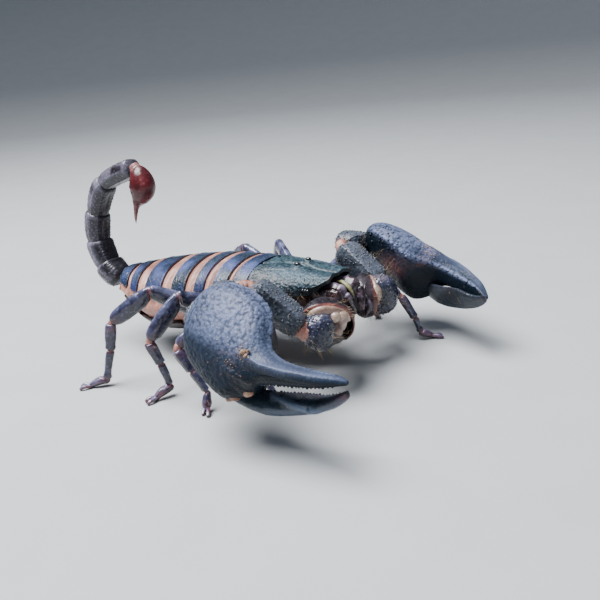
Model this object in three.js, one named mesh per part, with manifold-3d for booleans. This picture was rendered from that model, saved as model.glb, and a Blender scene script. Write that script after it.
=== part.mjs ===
// A giant forest scorpion (Heterometrus), a heavily built female, standing with both claws held
// forward and the tail arched over the back. Millimetres, +Z up. The head looks toward -Y, the
// animal's right side is toward -X, and the feet stand on the plane z = 0.
import * as THREE from 'three';
import { mergeVertices } from 'three/addons/utils/BufferGeometryUtils.js';
import Module from 'manifold-3d';

// ---- Driving dimensions ----------------------------------------------------------------

const GAP = 0.3; // clearance between pieces that touch in life
const PLATE = 0.6; // thickness of the plates of the back and belly

const CARAPACE_LENGTH = 15.7;
const CARAPACE_FRONT_HALF = 5.2;
const CARAPACE_BACK_HALF = 8.4;
const CARAPACE_SHELL = 0.9;
const REAR_EDGE_Y = -12.3; // where the carapace ends and the trunk begins

const TRUNK_LENGTH = 37;
const TRUNK_BEND = radians(20); // the trunk turns this much toward the animal's right
const FRONT_HEIGHT = 20.1; // height of the back at the carapace's front edge
const TAIL_ROOT_HEIGHT = 17.6; // height of the back over the tail's root
const BACK_ARCH = 2.2; // rise of the back's arch between those two
const TERGITE_EDGE = radians(16); // where a back plate ends, as an angle round the section
const STERNITE_EDGE = radians(32); // the same for a belly plate, below the horizontal

// Distances behind the carapace at which the soft bands between the back plates lie, and
// their widths. The body is swollen, so the bands are wide open.
const BAND_CENTRES = [0.2, 4.3, 9.5, 14.4, 20.8, 28.4, 32.8, 36.4];
const BAND_WIDTHS = [0.6, 1.8, 2.5, 2.8, 3.2, 3.1, 1.5, 0.6];
const BELLY_BANDS = [5.4, 11.6, 18, 24.4, 30.4, 36.2];
const BELLY_BAND_WIDTH = 0.9;

const FEMUR_LENGTH = 13;
const PATELLA_LENGTH = 13.7;
const WRIST_STEP = 2.1; // the claw grows from the side of the patella's end, this far ahead
const TROCHANTER_END = [13.1, -29.1, 13.5]; // [out from the midline, y, height]

const TAIL_ROOT = { station: 37.5, height: 14.3 };
const TAIL_LEAN = radians(2.6);
const TAIL_SEGMENTS = [
  { length: 5.8, pitch: 37, width: 6.3, depth: 5.3 },
  { length: 5.7, pitch: 67, width: 5.8, depth: 5.0 },
  { length: 6.3, pitch: 98.4, width: 5.4, depth: 4.7 },
  { length: 7.9, pitch: 120.5, width: 5.0, depth: 4.4 },
  { length: 12, pitch: 159.6, width: 4.6, depth: 3.9 },
];
const VESICLE = { length: 7.4, pitch: 284, width: 5.2, depth: 5.2 };
const STING = { length: 4.4, pitch: 289, curl: 24, radius: 0.7 };

// Each leg: where it leaves the body, how big it is, and how it is held. Headings are degrees
// outward from straight ahead, pitches are degrees above the horizontal.
const LEG_HIPS = [[7.6, -20.5, 12.6], [8, -17, 12.6], [8.6, -13, 12.6], [10.1, -9.1, 11.8]];
const LEG_LENGTHS = [
  [8.7, 7.0, 5.6, 3.2, 3.2],
  [12.3, 8.8, 5.2, 4.5, 3.5],
  [14.7, 9.7, 5.1, 4.6, 4.0],
  [15.9, 10.1, 5.7, 6.0, 3.9],
];
const LEG_STOUTNESS = [0.92, 1.02, 1.06, 1.1];
const LEG_POSES = {
  right: [
    { headings: [90, 30, 30, 10, 0], pitches: [22, -70, -80, -62] },
    { headings: [103, 117, -28, -28, 60], pitches: [15, -25, -60, -63] },
    { headings: [120, 120, 116, 115, 108], pitches: [25, -47, -109, -103] },
    { headings: [142, 143, 141, 140, 136], pitches: [25, -33, -80, -74] },
  ],
  left: [
    { headings: [60, 27, 30, 30, 38], pitches: [-1, -22, -62, -70] },
    { headings: [99, 95, 5, 8, 120], pitches: [13, -40, -64, -62] },
    { headings: [147, 136, 121, 118, 111], pitches: [26, -47, -103, -98] },
    { headings: [170, 158, 146, 143, 138], pitches: [24, -32, -77, -73] },
  ],
};
const CLAW_POSES = {
  right: { femur: [158, 41], patella: [103, -19], claw: [5, -8], roll: 67, shut: 0 },
  left: { femur: [172, 33], patella: [88, -13], claw: [-15, -12.5], roll: 48, shut: 11 },
};

// ---- Colours ---------------------------------------------------------------------------

const MATERIALS = {
  back: new THREE.MeshStandardMaterial({ color: 0x24303c, roughness: 0.42, metalness: 0 }),
  membrane: new THREE.MeshStandardMaterial({ color: 0xc98f80, roughness: 0.6, metalness: 0 }),
  belly: new THREE.MeshStandardMaterial({ color: 0x3a2c2b, roughness: 0.45, metalness: 0 }),
  claw: new THREE.MeshStandardMaterial({ color: 0x2a3542, roughness: 0.5, metalness: 0 }),
  leg: new THREE.MeshStandardMaterial({ color: 0x2a2835, roughness: 0.3, metalness: 0 }),
  foot: new THREE.MeshStandardMaterial({ color: 0x4b2b2a, roughness: 0.35, metalness: 0 }),
  tail: new THREE.MeshStandardMaterial({ color: 0x2b2527, roughness: 0.4, metalness: 0 }),
  telson: new THREE.MeshStandardMaterial({ color: 0x5e1d1a, roughness: 0.35, metalness: 0 }),
  comb: new THREE.MeshStandardMaterial({ color: 0xb79a78, roughness: 0.6, metalness: 0 }),
  eye: new THREE.MeshStandardMaterial({ color: 0x08080a, roughness: 0.05, metalness: 0 }),
};

// ---- Measuring helpers -----------------------------------------------------------------

function radians(degrees) {
  return (degrees * Math.PI) / 180;
}

function vector(x, y, z) {
  return new THREE.Vector3(x, y, z);
}

// A smooth curve through a few [where, value] pairs.
function profile(pairs) {
  const tangents = pairs.map((pair, i) => {
    const before = pairs[Math.max(i - 1, 0)];
    const after = pairs[Math.min(i + 1, pairs.length - 1)];
    return (after[1] - before[1]) / (after[0] - before[0]);
  });
  return (where) => {
    let i = 0;
    while (i < pairs.length - 2 && where > pairs[i + 1][0]) i += 1;
    const [x0, y0] = pairs[i];
    const [x1, y1] = pairs[i + 1];
    const span = x1 - x0;
    const t = THREE.MathUtils.clamp((where - x0) / span, 0, 1);
    const u = 1 - t;
    const ends = y0 * u * u * (1 + 2 * t) + y1 * t * t * (3 - 2 * t);
    return ends + span * (tangents[i] * t * u * u - tangents[i + 1] * t * t * u);
  };
}

// A direction from a heading (outward from straight ahead) and a pitch, both in degrees, for
// one side of the body: side is -1 for the right and +1 for the left.
function direction(side, heading, pitch) {
  const level = Math.cos(radians(pitch));
  const outward = side * Math.sin(radians(heading)) * level;
  return vector(outward, -Math.cos(radians(heading)) * level, Math.sin(radians(pitch)));
}

// Sideways and upward shares of a rounded section at an angle: square 2 is an ellipse, and
// larger values are boxier.
function rounded(angle, square = 2) {
  const c = Math.cos(angle);
  const s = Math.sin(angle);
  const power = 2 / square;
  return [Math.sign(c) * Math.abs(c) ** power, Math.sign(s) * Math.abs(s) ** power];
}

// ---- Solids from rings and grids -------------------------------------------------------

// Turns a list of corners and triangles into a closed geometry whose faces point out.
function closedGeometry(corners, triangles) {
  let volume = 0;
  for (const [a, b, c] of triangles) {
    volume += corners[a].dot(vector(0, 0, 0).crossVectors(corners[b], corners[c]));
  }
  const outward = volume > 0 ? triangles : triangles.map(([a, b, c]) => [a, c, b]);
  const geometry = new THREE.BufferGeometry();
  geometry.setFromPoints(corners);
  geometry.setIndex(outward.flat());
  geometry.computeVertexNormals();
  return geometry;
}

// A body skinned over rings of equally many points, closed by a point at each end.
function skinOver(rings, firstTip, lastTip) {
  const count = rings[0].length;
  const corners = [...rings.flat(), firstTip, lastTip];
  const first = corners.length - 2;
  const last = corners.length - 1;
  const triangles = [];
  for (let k = 0; k < count; k += 1) {
    const next = (k + 1) % count;
    triangles.push([first, next, k]);
    for (let r = 0; r + 1 < rings.length; r += 1) {
      const here = r * count;
      const there = here + count;
      triangles.push([here + k, here + next, there + next], [here + k, there + next, there + k]);
    }
    const end = (rings.length - 1) * count;
    triangles.push([end + k, end + next, last]);
  }
  return closedGeometry(corners, triangles);
}

// A plate between an outer and an inner grid of points of the same size.
function plate(outer, inner) {
  const rows = outer.length;
  const columns = outer[0].length;
  const corners = [...outer.flat(), ...inner.flat()];
  const under = rows * columns;
  const at = (row, column) => row * columns + column;
  const triangles = [];
  const quad = (a, b, c, d) => triangles.push([a, b, c], [a, c, d]);
  for (let i = 0; i + 1 < rows; i += 1) {
    for (let j = 0; j + 1 < columns; j += 1) {
      const [a, b, c, d] = [at(i, j), at(i, j + 1), at(i + 1, j + 1), at(i + 1, j)];
      quad(a, b, c, d);
      quad(under + d, under + c, under + b, under + a);
    }
  }
  for (let j = 0; j + 1 < columns; j += 1) {
    const [front, back] = [at(0, j), at(rows - 1, j)];
    quad(front + 1, front, under + front, under + front + 1);
    quad(back, back + 1, under + back + 1, under + back);
  }
  for (let i = 0; i + 1 < rows; i += 1) {
    const [left, right] = [at(i, 0), at(i, columns - 1)];
    quad(left, left + columns, under + left + columns, under + left);
    quad(right + columns, right, under + right, under + right + columns);
  }
  return closedGeometry(corners, triangles);
}

// One ring of a limb: centre, the way the limb runs, the sideways direction, half width across
// and half height.
function limbRing(centre, along, across, halfWidth, halfHeight, sides, square) {
  const up = vector(0, 0, 0).crossVectors(across, along).normalize();
  return Array.from({ length: sides }, (_, k) => {
    const [c, s] = rounded((2 * Math.PI * k) / sides, square);
    const point = centre.clone().addScaledVector(across, halfWidth * c);
    return point.addScaledVector(up, halfHeight * s);
  });
}

// A limb of one or more straight segments between joints. Each segment's shape is a list of
// [share of its length, half width, half height]; a share of 1 is the joint itself, where the
// ring lies in the plane that halves the bend.
function limb(joints, planeNormal, shapes, { sides = 8, square = 2.3, scale = 1, cap = 0.3 } = {}) {
  const runs = joints.slice(1).map((joint, i) => joint.clone().sub(joints[i]));
  const rings = [];
  let firstTip = null;
  let lastTip = null;
  shapes.forEach((shape, i) => {
    for (const [share, halfWidth, halfHeight] of shape) {
      const centre = joints[i].clone().addScaledVector(runs[i], share);
      const along = runs[i].clone().normalize();
      if (share === 1 && runs[i + 1]) along.add(runs[i + 1].clone().normalize()).normalize();
      const across = planeNormal.clone().addScaledVector(along, -planeNormal.dot(along));
      across.normalize();
      const [wide, high] = [halfWidth * scale, halfHeight * scale];
      rings.push(limbRing(centre, along, across, wide, high, sides, square));
      firstTip = firstTip ?? centre.clone().addScaledVector(along, -cap);
      lastTip = centre.clone().addScaledVector(along, cap);
    }
  });
  return skinOver(rings, firstTip, lastTip);
}

// ---- Joining and cutting ---------------------------------------------------------------

const wasm = await Module();
wasm.setup();

function solidOf(geometry) {
  const bare = geometry.clone();
  bare.deleteAttribute('normal');
  bare.deleteAttribute('uv');
  const merged = mergeVertices(bare, 1e-4);
  const vertProperties = merged.attributes.position.array;
  const triVerts = new Uint32Array(merged.index.array);
  return new wasm.Manifold(new wasm.Mesh({ numProp: 3, vertProperties, triVerts }));
}

function geometryOf(solid) {
  const mesh = solid.getMesh();
  const geometry = new THREE.BufferGeometry();
  geometry.setAttribute('position', new THREE.BufferAttribute(mesh.vertProperties, 3));
  geometry.setIndex(new THREE.BufferAttribute(mesh.triVerts, 1));
  geometry.computeVertexNormals();
  return geometry;
}

// ---- The scene graph -------------------------------------------------------------------

const scorpion = new THREE.Group();

function add(name, geometry, material) {
  const mesh = new THREE.Mesh(geometry, material);
  mesh.name = name;
  scorpion.add(mesh);
}

const SIDES = [['right', -1], ['left', 1]];

// ---- Body frame ------------------------------------------------------------------------

const TRUNK_RADIUS = TRUNK_LENGTH / TRUNK_BEND;

// A point of the body from its distance behind the carapace (negative on the carapace), its
// offset to the left and its height. Behind the carapace the midline follows a circular arc.
function bodyPoint(station, offset, height) {
  const angle = Math.max(station, 0) / TRUNK_RADIUS;
  const ahead = Math.min(station, 0);
  const x = TRUNK_RADIUS * (Math.cos(angle) - 1) + offset * Math.cos(angle);
  const y = REAR_EDGE_Y + ahead + TRUNK_RADIUS * Math.sin(angle) + offset * Math.sin(angle);
  return vector(x, y, height);
}

// Height of the line along the middle of the back.
function backHeight(station) {
  const share = (station + CARAPACE_LENGTH) / (CARAPACE_LENGTH + TRUNK_LENGTH);
  const chord = THREE.MathUtils.lerp(FRONT_HEIGHT, TAIL_ROOT_HEIGHT, share);
  return chord + BACK_ARCH * Math.sin(Math.PI * share);
}

const trunkHalf = profile([[0, 8.6], [8, 9.8], [18, 10.4], [26, 9.8], [32, 7.2], [36.4, 4.2]]);
const bellyHeight = profile([[0, 9.4], [10, 7.3], [22, 5.1], [30, 6.4], [36.4, 11.2]]);

// A point round the trunk's section: angle 0 is the left side, a quarter turn is the back.
function trunkPoint(station, angle, inset) {
  const top = backHeight(station);
  const bottom = bellyHeight(station);
  const [c, s] = rounded(angle, 2.2);
  const half = (top - bottom) / 2;
  const offset = (trunkHalf(station) - inset) * c;
  return bodyPoint(station, offset, (top + bottom) / 2 + (half - inset) * s);
}

// ---- Trunk: soft skin with plates on the back and belly ---------------------------------

// A plate that follows the trunk's section between two stations and two angles.
function trunkPlate(front, back, fromAngle, toAngle, columns, taper) {
  const rows = [0, 0.5, 1];
  const grid = (inset) => rows.map((row) => {
    const station = THREE.MathUtils.lerp(front, back, row);
    return Array.from({ length: columns + 1 }, (_, j) => {
      const middle = (fromAngle + toAngle) / 2;
      const reach = ((toAngle - fromAngle) / 2) * (1 - taper * Math.abs(row - 0.5));
      return trunkPoint(station, middle + reach * ((2 * j) / columns - 1), inset);
    });
  });
  return plate(grid(0), grid(PLATE));
}

for (let i = 0; i + 1 < BAND_CENTRES.length; i += 1) {
  const front = BAND_CENTRES[i] + BAND_WIDTHS[i] / 2;
  const back = BAND_CENTRES[i + 1] - BAND_WIDTHS[i + 1] / 2;
  const shape = trunkPlate(front, back, TERGITE_EDGE, Math.PI - TERGITE_EDGE, 10, 0.06);
  add(`tergite_${i + 1}`, shape, MATERIALS.back);
}

for (let i = 0; i + 1 < BELLY_BANDS.length; i += 1) {
  const front = BELLY_BANDS[i] + BELLY_BAND_WIDTH / 2;
  const back = BELLY_BANDS[i + 1] - BELLY_BAND_WIDTH / 2;
  const shape = trunkPlate(front, back, STERNITE_EDGE - Math.PI, -STERNITE_EDGE, 8, 0.06);
  add(`sternite_${i + 3}`, shape, MATERIALS.belly);
}

// The soft skin lies a plate's thickness and a gap below the plates, swells out to the full
// section on the flanks and part of the way in the bands between the plates.
function trunkSkin() {
  const under = PLATE + GAP;
  const swell = (station, centres, widths) => {
    const near = centres.findIndex((centre) => Math.abs(station - centre) < 1e-6);
    return near < 0 ? under : under - Math.min(0.7, 0.32 * widths[near]);
  };
  const stations = [];
  BAND_CENTRES.forEach((centre, i) => {
    const half = BAND_WIDTHS[i] / 2;
    if (i > 0) stations.push(centre - half);
    stations.push(centre);
    if (i + 1 < BAND_CENTRES.length) stations.push(centre + half);
  });
  const backAngles = Array.from({ length: 8 }, (_, k) => {
    return TERGITE_EDGE + ((Math.PI - 2 * TERGITE_EDGE) * k) / 7;
  });
  const bellyAngles = Array.from({ length: 6 }, (_, k) => {
    return Math.PI + STERNITE_EDGE + ((Math.PI - 2 * STERNITE_EDGE) * k) / 5;
  });
  const rings = stations.map((station) => {
    const raised = swell(station, BAND_CENTRES, BAND_WIDTHS);
    return [
      ...backAngles.map((angle) => trunkPoint(station, angle, raised)),
      trunkPoint(station, Math.PI + STERNITE_EDGE * 0.2, 0),
      ...bellyAngles.map((angle) => trunkPoint(station, angle, under)),
      trunkPoint(station, -STERNITE_EDGE * 0.2, 0),
    ];
  });
  const tipHeight = (station) => (backHeight(station) + bellyHeight(station)) / 2;
  const [first, last] = [stations[0], stations[stations.length - 1]];
  return skinOver(rings, bodyPoint(first, 0, tipHeight(first)), bodyPoint(last, 0, tipHeight(last)));
}

add('trunk_skin', trunkSkin(), MATERIALS.membrane);

// ---- Carapace and the underside of the head ---------------------------------------------

const MARGIN_FRONT = 17.6; // height of the carapace's lower edge, at its front and back
const MARGIN_BACK = 16.2;
const EYES_SHARE = 0.47; // how far back the middle eyes stand, of the carapace's length
const carapaceHalf = profile([[0, CARAPACE_FRONT_HALF], [0.45, 7.2], [1, CARAPACE_BACK_HALF]]);

// A point of the carapace: across runs from -1 at the right edge to +1 at the left, back from
// 0 at the front edge to 1 at the rear. The front edge has two lobes and a notch between them.
function carapacePoint(across, back, inset) {
  const lobes = 0.9 * Math.exp(-(((Math.abs(across) - 0.5) / 0.3) ** 2)) - 1.1 * Math.abs(across) ** 6;
  const front = -CARAPACE_LENGTH + 1 - lobes;
  const station = THREE.MathUtils.lerp(front, 0, back);
  const margin = THREE.MathUtils.lerp(MARGIN_FRONT, MARGIN_BACK, back);
  const rise = backHeight(station) - margin;
  const [c, s] = rounded((Math.PI / 2) * (1 - Math.abs(across)), 2.3);
  const furrow = 0.45 * Math.exp(-((across / 0.1) ** 2)) * (1 - 0.6 * back);
  const mound = 0.5 * Math.exp(-((across / 0.16) ** 2) - ((back - EYES_SHARE) / 0.1) ** 2);
  const offset = Math.sign(across) * (carapaceHalf(back) - inset * 0.4) * c;
  return bodyPoint(station, offset, margin + rise * s - furrow + mound - inset);
}

function carapace() {
  const rows = [0, 0.06, 0.18, 0.34, 0.47, 0.6, 0.8, 0.95, 1];
  const columns = [-1, -0.88, -0.7, -0.5, -0.3, -0.13, 0, 0.13, 0.3, 0.5, 0.7, 0.88, 1];
  const grid = (inset) => rows.map((back) => {
    return columns.map((across) => carapacePoint(across, back, inset));
  });
  return plate(grid(0), grid(CARAPACE_SHELL));
}

add('carapace', carapace(), MATERIALS.back);

// The mass of coxae under the carapace: high behind the jaws, low beneath them.
const JAW_ROOM = 0.3; // share of the carapace's length that the jaws reach back to
function underside() {
  const rows = [0.08, JAW_ROOM, JAW_ROOM + 0.03, 0.5, 0.7, 0.88, 0.99];
  const columns = [-1, -0.75, -0.45, 0, 0.45, 0.75, 1];
  const floorHeight = profile([[0, 10.6], [0.4, 9.6], [1, 9.7]]);
  const upper = rows.map((back) => columns.map((across) => {
    const roof = carapacePoint(across * 0.86, back, CARAPACE_SHELL + GAP);
    if (back <= JAW_ROOM) roof.z = 12.4;
    roof.x = across * (carapaceHalf(back) - THREE.MathUtils.lerp(1.5, 0.5, back));
    return roof;
  }));
  const lower = rows.map((back) => columns.map((across) => {
    const roof = carapacePoint(across, back, 0);
    roof.x = across * (carapaceHalf(back) - THREE.MathUtils.lerp(1.7, 0.5, back));
    roof.z = floorHeight(back) + 1.4 * across * across;
    return roof;
  }));
  return plate(upper, lower);
}

add('head_underside', underside(), MATERIALS.belly);

// ---- Eyes ------------------------------------------------------------------------------

function eyeBall(centre, radii) {
  const ball = new THREE.SphereGeometry(1, 8, 5);
  ball.scale(...radii);
  return ball.translate(centre.x, centre.y, centre.z);
}

for (const [name, side] of SIDES) {
  const middle = carapacePoint(side * 0.13, EYES_SHARE, 0);
  middle.z += 0.42;
  add(`middle_eye_${name}`, eyeBall(middle, [0.5, 0.6, 0.34]), MATERIALS.eye);
  const corner = carapacePoint(side * 0.97, 0.1, 0);
  corner.add(vector(side * 0.42, 0, 0.15));
  add(`side_eyes_${name}`, eyeBall(corner, [0.3, 0.95, 0.3]), MATERIALS.eye);
}

// ---- Jaws (chelicerae) ------------------------------------------------------------------

for (const [name, side] of SIDES) {
  const root = vector(side * 2.25, -24.2, 16);
  const knuckle = vector(side * 2.35, -30.6, 15.9);
  const base = limb([root, knuckle], vector(1, 0, 0), [[
    [0, 1.3, 1.5], [0.2, 1.75, 1.95], [0.55, 1.95, 2.25], [0.85, 1.9, 2.25], [1, 1.4, 1.7],
  ]], { cap: 0.5 });
  const fixed = limb([knuckle, vector(side * 1.5, -31.9, 14.1), vector(side * 1.2, -32.2, 12.4)],
    vector(1, 0, 0), [[[0, 0.8, 1.2], [0.6, 0.6, 0.8], [1, 0.45, 0.55]], [[0.7, 0.3, 0.32]]]);
  add(`jaw_${name}`, geometryOf(solidOf(base).add(solidOf(fixed))), MATERIALS.tail);
  const hinge = vector(side * 3.6, -31.2, 14.4);
  const bend = vector(side * 3.2, -32.3, 12.9);
  const tip = vector(side * 2.1, -32.2, 11.2);
  add(`jaw_finger_${name}`, limb([hinge, bend, tip], vector(1, 0, 0), [
    [[0, 0.55, 0.6], [0.5, 0.65, 0.8], [1, 0.5, 0.55]], [[0.6, 0.35, 0.38], [1, 0.25, 0.25]],
  ]), MATERIALS.tail);
}

// ---- Claw arms (pedipalps) ---------------------------------------------------------------

// The palm with its fixed finger: [distance from the wrist, inner edge, outer edge, thickness,
// rise of the middle]. The fixed finger carries on the palm's upper face.
const PALM_OUTLINE = [
  [-0.7, 4.4, 0.4, 3.0, 0], [0.3, 6.9, -1.6, 5.6, 0], [2.2, 8.7, -3.9, 7.8, 0],
  [5, 9.6, -5.7, 9.4, -0.3], [8.6, 9.5, -7.1, 10.2, -0.6], [11.2, 8.6, -7.5, 10.4, -0.9],
  [13.2, 7.2, -5.4, 10.2, -0.8], [15.2, 4.6, -3.9, 7.8, 0.3], [16.8, 2.7, -2.9, 6, 1.2],
  [19.6, 1.8, -2.0, 5.2, 1.6], [23, 1.8, -1.1, 4.4, 1.4], [26.4, 2.2, -0.1, 3.3, 0.9],
  [29, 2.7, 1.0, 2.1, 0.1], [30.4, 2.6, 1.7, 1.2, -0.5],
];
// The moving finger, in the same terms, hinged at the palm's lower outer corner.
const FINGER_OUTLINE = [
  [12.4, -7.2, -7.8, 2.2, -2.4], [13.6, -6.2, -8.2, 3.6, -3.0], [16, -4.9, -8.1, 4.4, -3.4],
  [19, -4.0, -7.2, 4.3, -3.6], [22.4, -3.0, -5.8, 3.8, -3.4], [25.8, -1.9, -4.1, 3.1, -2.9],
  [28.6, -0.4, -2.3, 2.3, -2.2], [30.4, 0.8, -0.5, 1.3, -1.6],
];
const FINGER_HINGE = [12.8, -7.4]; // where it swings: distance from the wrist, breadth

function clawSolid(outline, frame, sides, firstCap, lastCap) {
  const { wrist, along, inward, out } = frame;
  const place = (distance, breadth, lift) => wrist.clone().addScaledVector(along, distance)
    .addScaledVector(inward, breadth).addScaledVector(out, lift);
  const rings = outline.map(([distance, inner, outer, thickness, rise]) => {
    return Array.from({ length: sides }, (_, k) => {
      const angle = (2 * Math.PI * k) / sides;
      const [c, s] = rounded(angle, 2.15);
      const slim = 1 - 0.2 * c;
      const breadth = (inner + outer) / 2 + ((inner - outer) / 2) * c;
      return place(distance, breadth, rise + (thickness / 2) * slim * s);
    });
  });
  const tip = ([distance, inner, outer, , rise], cap) => {
    return place(distance + cap, (inner + outer) / 2, rise);
  };
  return skinOver(rings, tip(outline[0], -firstCap), tip(outline[outline.length - 1], lastCap));
}

// The claw's frame, turned about the finger's hinge so that the finger shuts by an angle.
function shutFrame({ wrist, along, inward, out }, angle) {
  const [reach, breadth] = FINGER_HINGE;
  const hinge = wrist.clone().addScaledVector(along, reach).addScaledVector(inward, breadth);
  const turned = [along, inward].map((way) => way.clone().applyAxisAngle(
    vector(0, 0, 0).crossVectors(along, inward).normalize(),
    angle,
  ));
  hinge.addScaledVector(turned[0], -reach).addScaledVector(turned[1], -breadth);
  return { wrist: hinge, along: turned[0], inward: turned[1], out };
}

for (const [name, side] of SIDES) {
  const pose = CLAW_POSES[name];
  const [reach, forward, height] = TROCHANTER_END;
  const shoulder = vector(side * reach, forward, height);
  const femurWay = direction(side, ...pose.femur);
  const elbow = shoulder.clone().addScaledVector(femurWay, FEMUR_LENGTH);
  const patellaWay = direction(side, ...pose.patella);
  const wrist = elbow.clone().addScaledVector(patellaWay, PATELLA_LENGTH);
  const up = vector(0, 0, 1);
  const level = (way) => vector(0, 0, 0).crossVectors(way, up).normalize();

  // The coxa is a broad cup beside the mouth, the trochanter the ball in its rim.
  const coxaRoot = vector(side * 5.8, -24.9, 12.6);
  const coxaRim = vector(side * 7.7, -31.5, 13.2);
  const cup = limb([coxaRoot, coxaRim], level(coxaRim.clone().sub(coxaRoot)), [[
    [0, 1.4, 2], [0.3, 2.1, 2.6], [0.75, 3.3, 3.6], [1, 3.9, 4.2],
  ]], { sides: 12, cap: 0 });
  const ballRoot = vector(side * 9.3, -32.1, 12.5);
  const ballEnd = shoulder.clone().addScaledVector(femurWay, -0.9);
  const ball = (extra) => limb([ballRoot, ballEnd], level(ballEnd.clone().sub(ballRoot)), [[
    [-0.05, 1.9 + extra, 2.3 + extra], [0.2, 2.8 + extra, 3.2 + extra],
    [0.6, 2.8 + extra, 3 + extra], [0.95, 1.7 + extra, 1.9 + extra],
  ]], { sides: 10, cap: 0.2 + extra });
  add(`palp_coxa_${name}`, geometryOf(solidOf(cup).subtract(solidOf(ball(GAP)))), MATERIALS.belly);
  add(`palp_trochanter_${name}`, ball(0), MATERIALS.claw);
  add(`palp_femur_${name}`, limb([shoulder, elbow], level(femurWay), [[
    [0.05, 1.6, 1.7], [0.16, 2.5, 2.4], [0.5, 2.4, 2.6], [0.78, 2.5, 2.7], [0.89, 1.3, 1.4],
  ]], { sides: 10, square: 2.8, cap: 0.2 }), MATERIALS.claw);
  const patella = limb([elbow, wrist], level(patellaWay), [[
    [0.12, 1.3, 1.3], [0.22, 2.6, 2.4], [0.42, 3.1, 2.6], [0.7, 2.8, 2.4], [0.85, 2.2, 2.0],
    [0.94, 1.3, 1.3],
  ]], { sides: 10, square: 2.6, cap: 0.1 });

  // The claw's own frame: along it, toward its inner edge, and out of its upper face.
  const along = direction(side, ...pose.claw);
  const inwardLevel = level(along).multiplyScalar(side);
  const inwardUp = vector(0, 0, 0).crossVectors(along, inwardLevel);
  if (inwardUp.z < 0) inwardUp.negate();
  const inward = inwardLevel.multiplyScalar(Math.cos(radians(pose.roll)));
  inward.addScaledVector(inwardUp, Math.sin(radians(pose.roll)));
  const out = vector(0, 0, 0).crossVectors(along, inward).multiplyScalar(-side);
  const palmRoot = wrist.clone().addScaledVector(along, WRIST_STEP);
  const frame = { wrist: palmRoot, along, inward, out };
  // The patella's end is hollowed where the palm swells past it.
  const grown = PALM_OUTLINE.map(([distance, inner, outer, thickness, rise]) => {
    return [distance, inner + GAP, outer - GAP, thickness + 2 * GAP, rise];
  });
  const swell = solidOf(clawSolid(grown, frame, 12, 0.2 + GAP, 0.4));
  add(`palp_patella_${name}`, geometryOf(solidOf(patella).subtract(swell)), MATERIALS.claw);
  add(`palm_${name}`, clawSolid(PALM_OUTLINE, frame, 12, 0.2, 0.4), MATERIALS.claw);
  const shut = shutFrame(frame, radians(pose.shut));
  add(`moving_finger_${name}`, clawSolid(FINGER_OUTLINE, shut, 10, 0.3, 0.5), MATERIALS.claw);
}

// ---- Legs --------------------------------------------------------------------------------

const FLOOR_BLOCK = solidOf(new THREE.BoxGeometry(200, 200, 10).translate(0, 0, -5));
const SOLE = 0.3; // height of the toe's middle above the floor

// One leg from its pose: a thigh (coxa to patella) and a foot (tibia to the two small claws).
function legSolids(side, index) {
  const pose = LEG_POSES[side < 0 ? 'right' : 'left'][index];
  const lengths = LEG_LENGTHS[index];
  const [hipReach, hipY, hipHeight] = LEG_HIPS[index];
  const joints = [vector(side * hipReach, hipY, hipHeight)];
  pose.pitches.forEach((pitch, i) => {
    const way = direction(side, pose.headings[i], pitch);
    joints.push(joints[i].clone().addScaledVector(way, lengths[i]));
  });
  const ankle = joints[4];
  const dip = -THREE.MathUtils.radToDeg(Math.asin((ankle.z - SOLE) / lengths[4]));
  const toeWay = direction(side, pose.headings[4], dip);
  joints.push(ankle.clone().addScaledVector(toeWay, lengths[4]));

  const stretch = joints[5].clone().sub(joints[0]).setZ(0).normalize();
  const sideways = vector(stretch.y, -stretch.x, 0);
  const scale = LEG_STOUTNESS[index];
  const bend = joints[2].clone().sub(joints[1]).angleTo(joints[3].clone().sub(joints[2]));
  const cut = GAP / 2 + 0.62 * scale * Math.tan(bend / 2);
  const thighEnd = 1 - cut / lengths[1];
  const thigh = limb(joints.slice(0, 3), sideways, [
    [[0, 0.9, 1.1], [0.1, 1.1, 1.4], [0.2, 0.85, 1.15], [0.28, 1, 1.45], [0.6, 0.95, 1.55],
      [0.88, 0.85, 1.3], [1, 0.7, 0.9]],
    [[0.15, 0.8, 1.2], [0.35, 0.9, 1.45], [0.7, 0.85, 1.4], [thighEnd - 0.06, 0.7, 1.05],
      [thighEnd, 0.5, 0.62]],
  ], { sides: 7, scale, cap: 0.02 });
  const shinStart = cut / lengths[2];
  const shin = limb(joints.slice(2), sideways, [
    [[shinStart, 0.5, 0.62], [shinStart + 0.12, 0.72, 0.95], [0.85, 0.62, 0.8], [1, 0.46, 0.56]],
    [[0.2, 0.56, 0.68], [1, 0.42, 0.46]],
    [[0.2, 0.48, 0.56], [0.97, 0.32, 0.38]],
  ], { sides: 6, scale, cap: 0.02 });
  let foot = solidOf(shin);
  const toe = joints[5];
  for (const spread of [-1, 1]) {
    const flat = toeWay.clone().setZ(0).normalize();
    const start = toe.clone().addScaledVector(toeWay, -0.5).addScaledVector(sideways, 0.16 * spread);
    const arch = toe.clone().addScaledVector(flat, 0.75).addScaledVector(sideways, 0.55 * spread);
    arch.z = SOLE + 0.32;
    const point = arch.clone().addScaledVector(flat, 0.9).addScaledVector(sideways, 0.1 * spread);
    point.z = SOLE - 0.06;
    const hook = limb([start, arch, point], sideways, [
      [[0, 0.26, 0.27], [1, 0.26, 0.28]], [[1, 0.25, 0.25]],
    ], { sides: 5, cap: 0.1 });
    foot = foot.add(solidOf(hook));
  }
  return [thigh, geometryOf(foot.subtract(FLOOR_BLOCK))];
}

for (const [name, side] of SIDES) {
  for (let index = 0; index < 4; index += 1) {
    const [thigh, foot] = legSolids(side, index);
    add(`leg_${index + 1}_${name}`, thigh, MATERIALS.leg);
    add(`foot_${index + 1}_${name}`, foot, MATERIALS.foot);
  }
}

// ---- Combs (pectines) ---------------------------------------------------------------------

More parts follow.
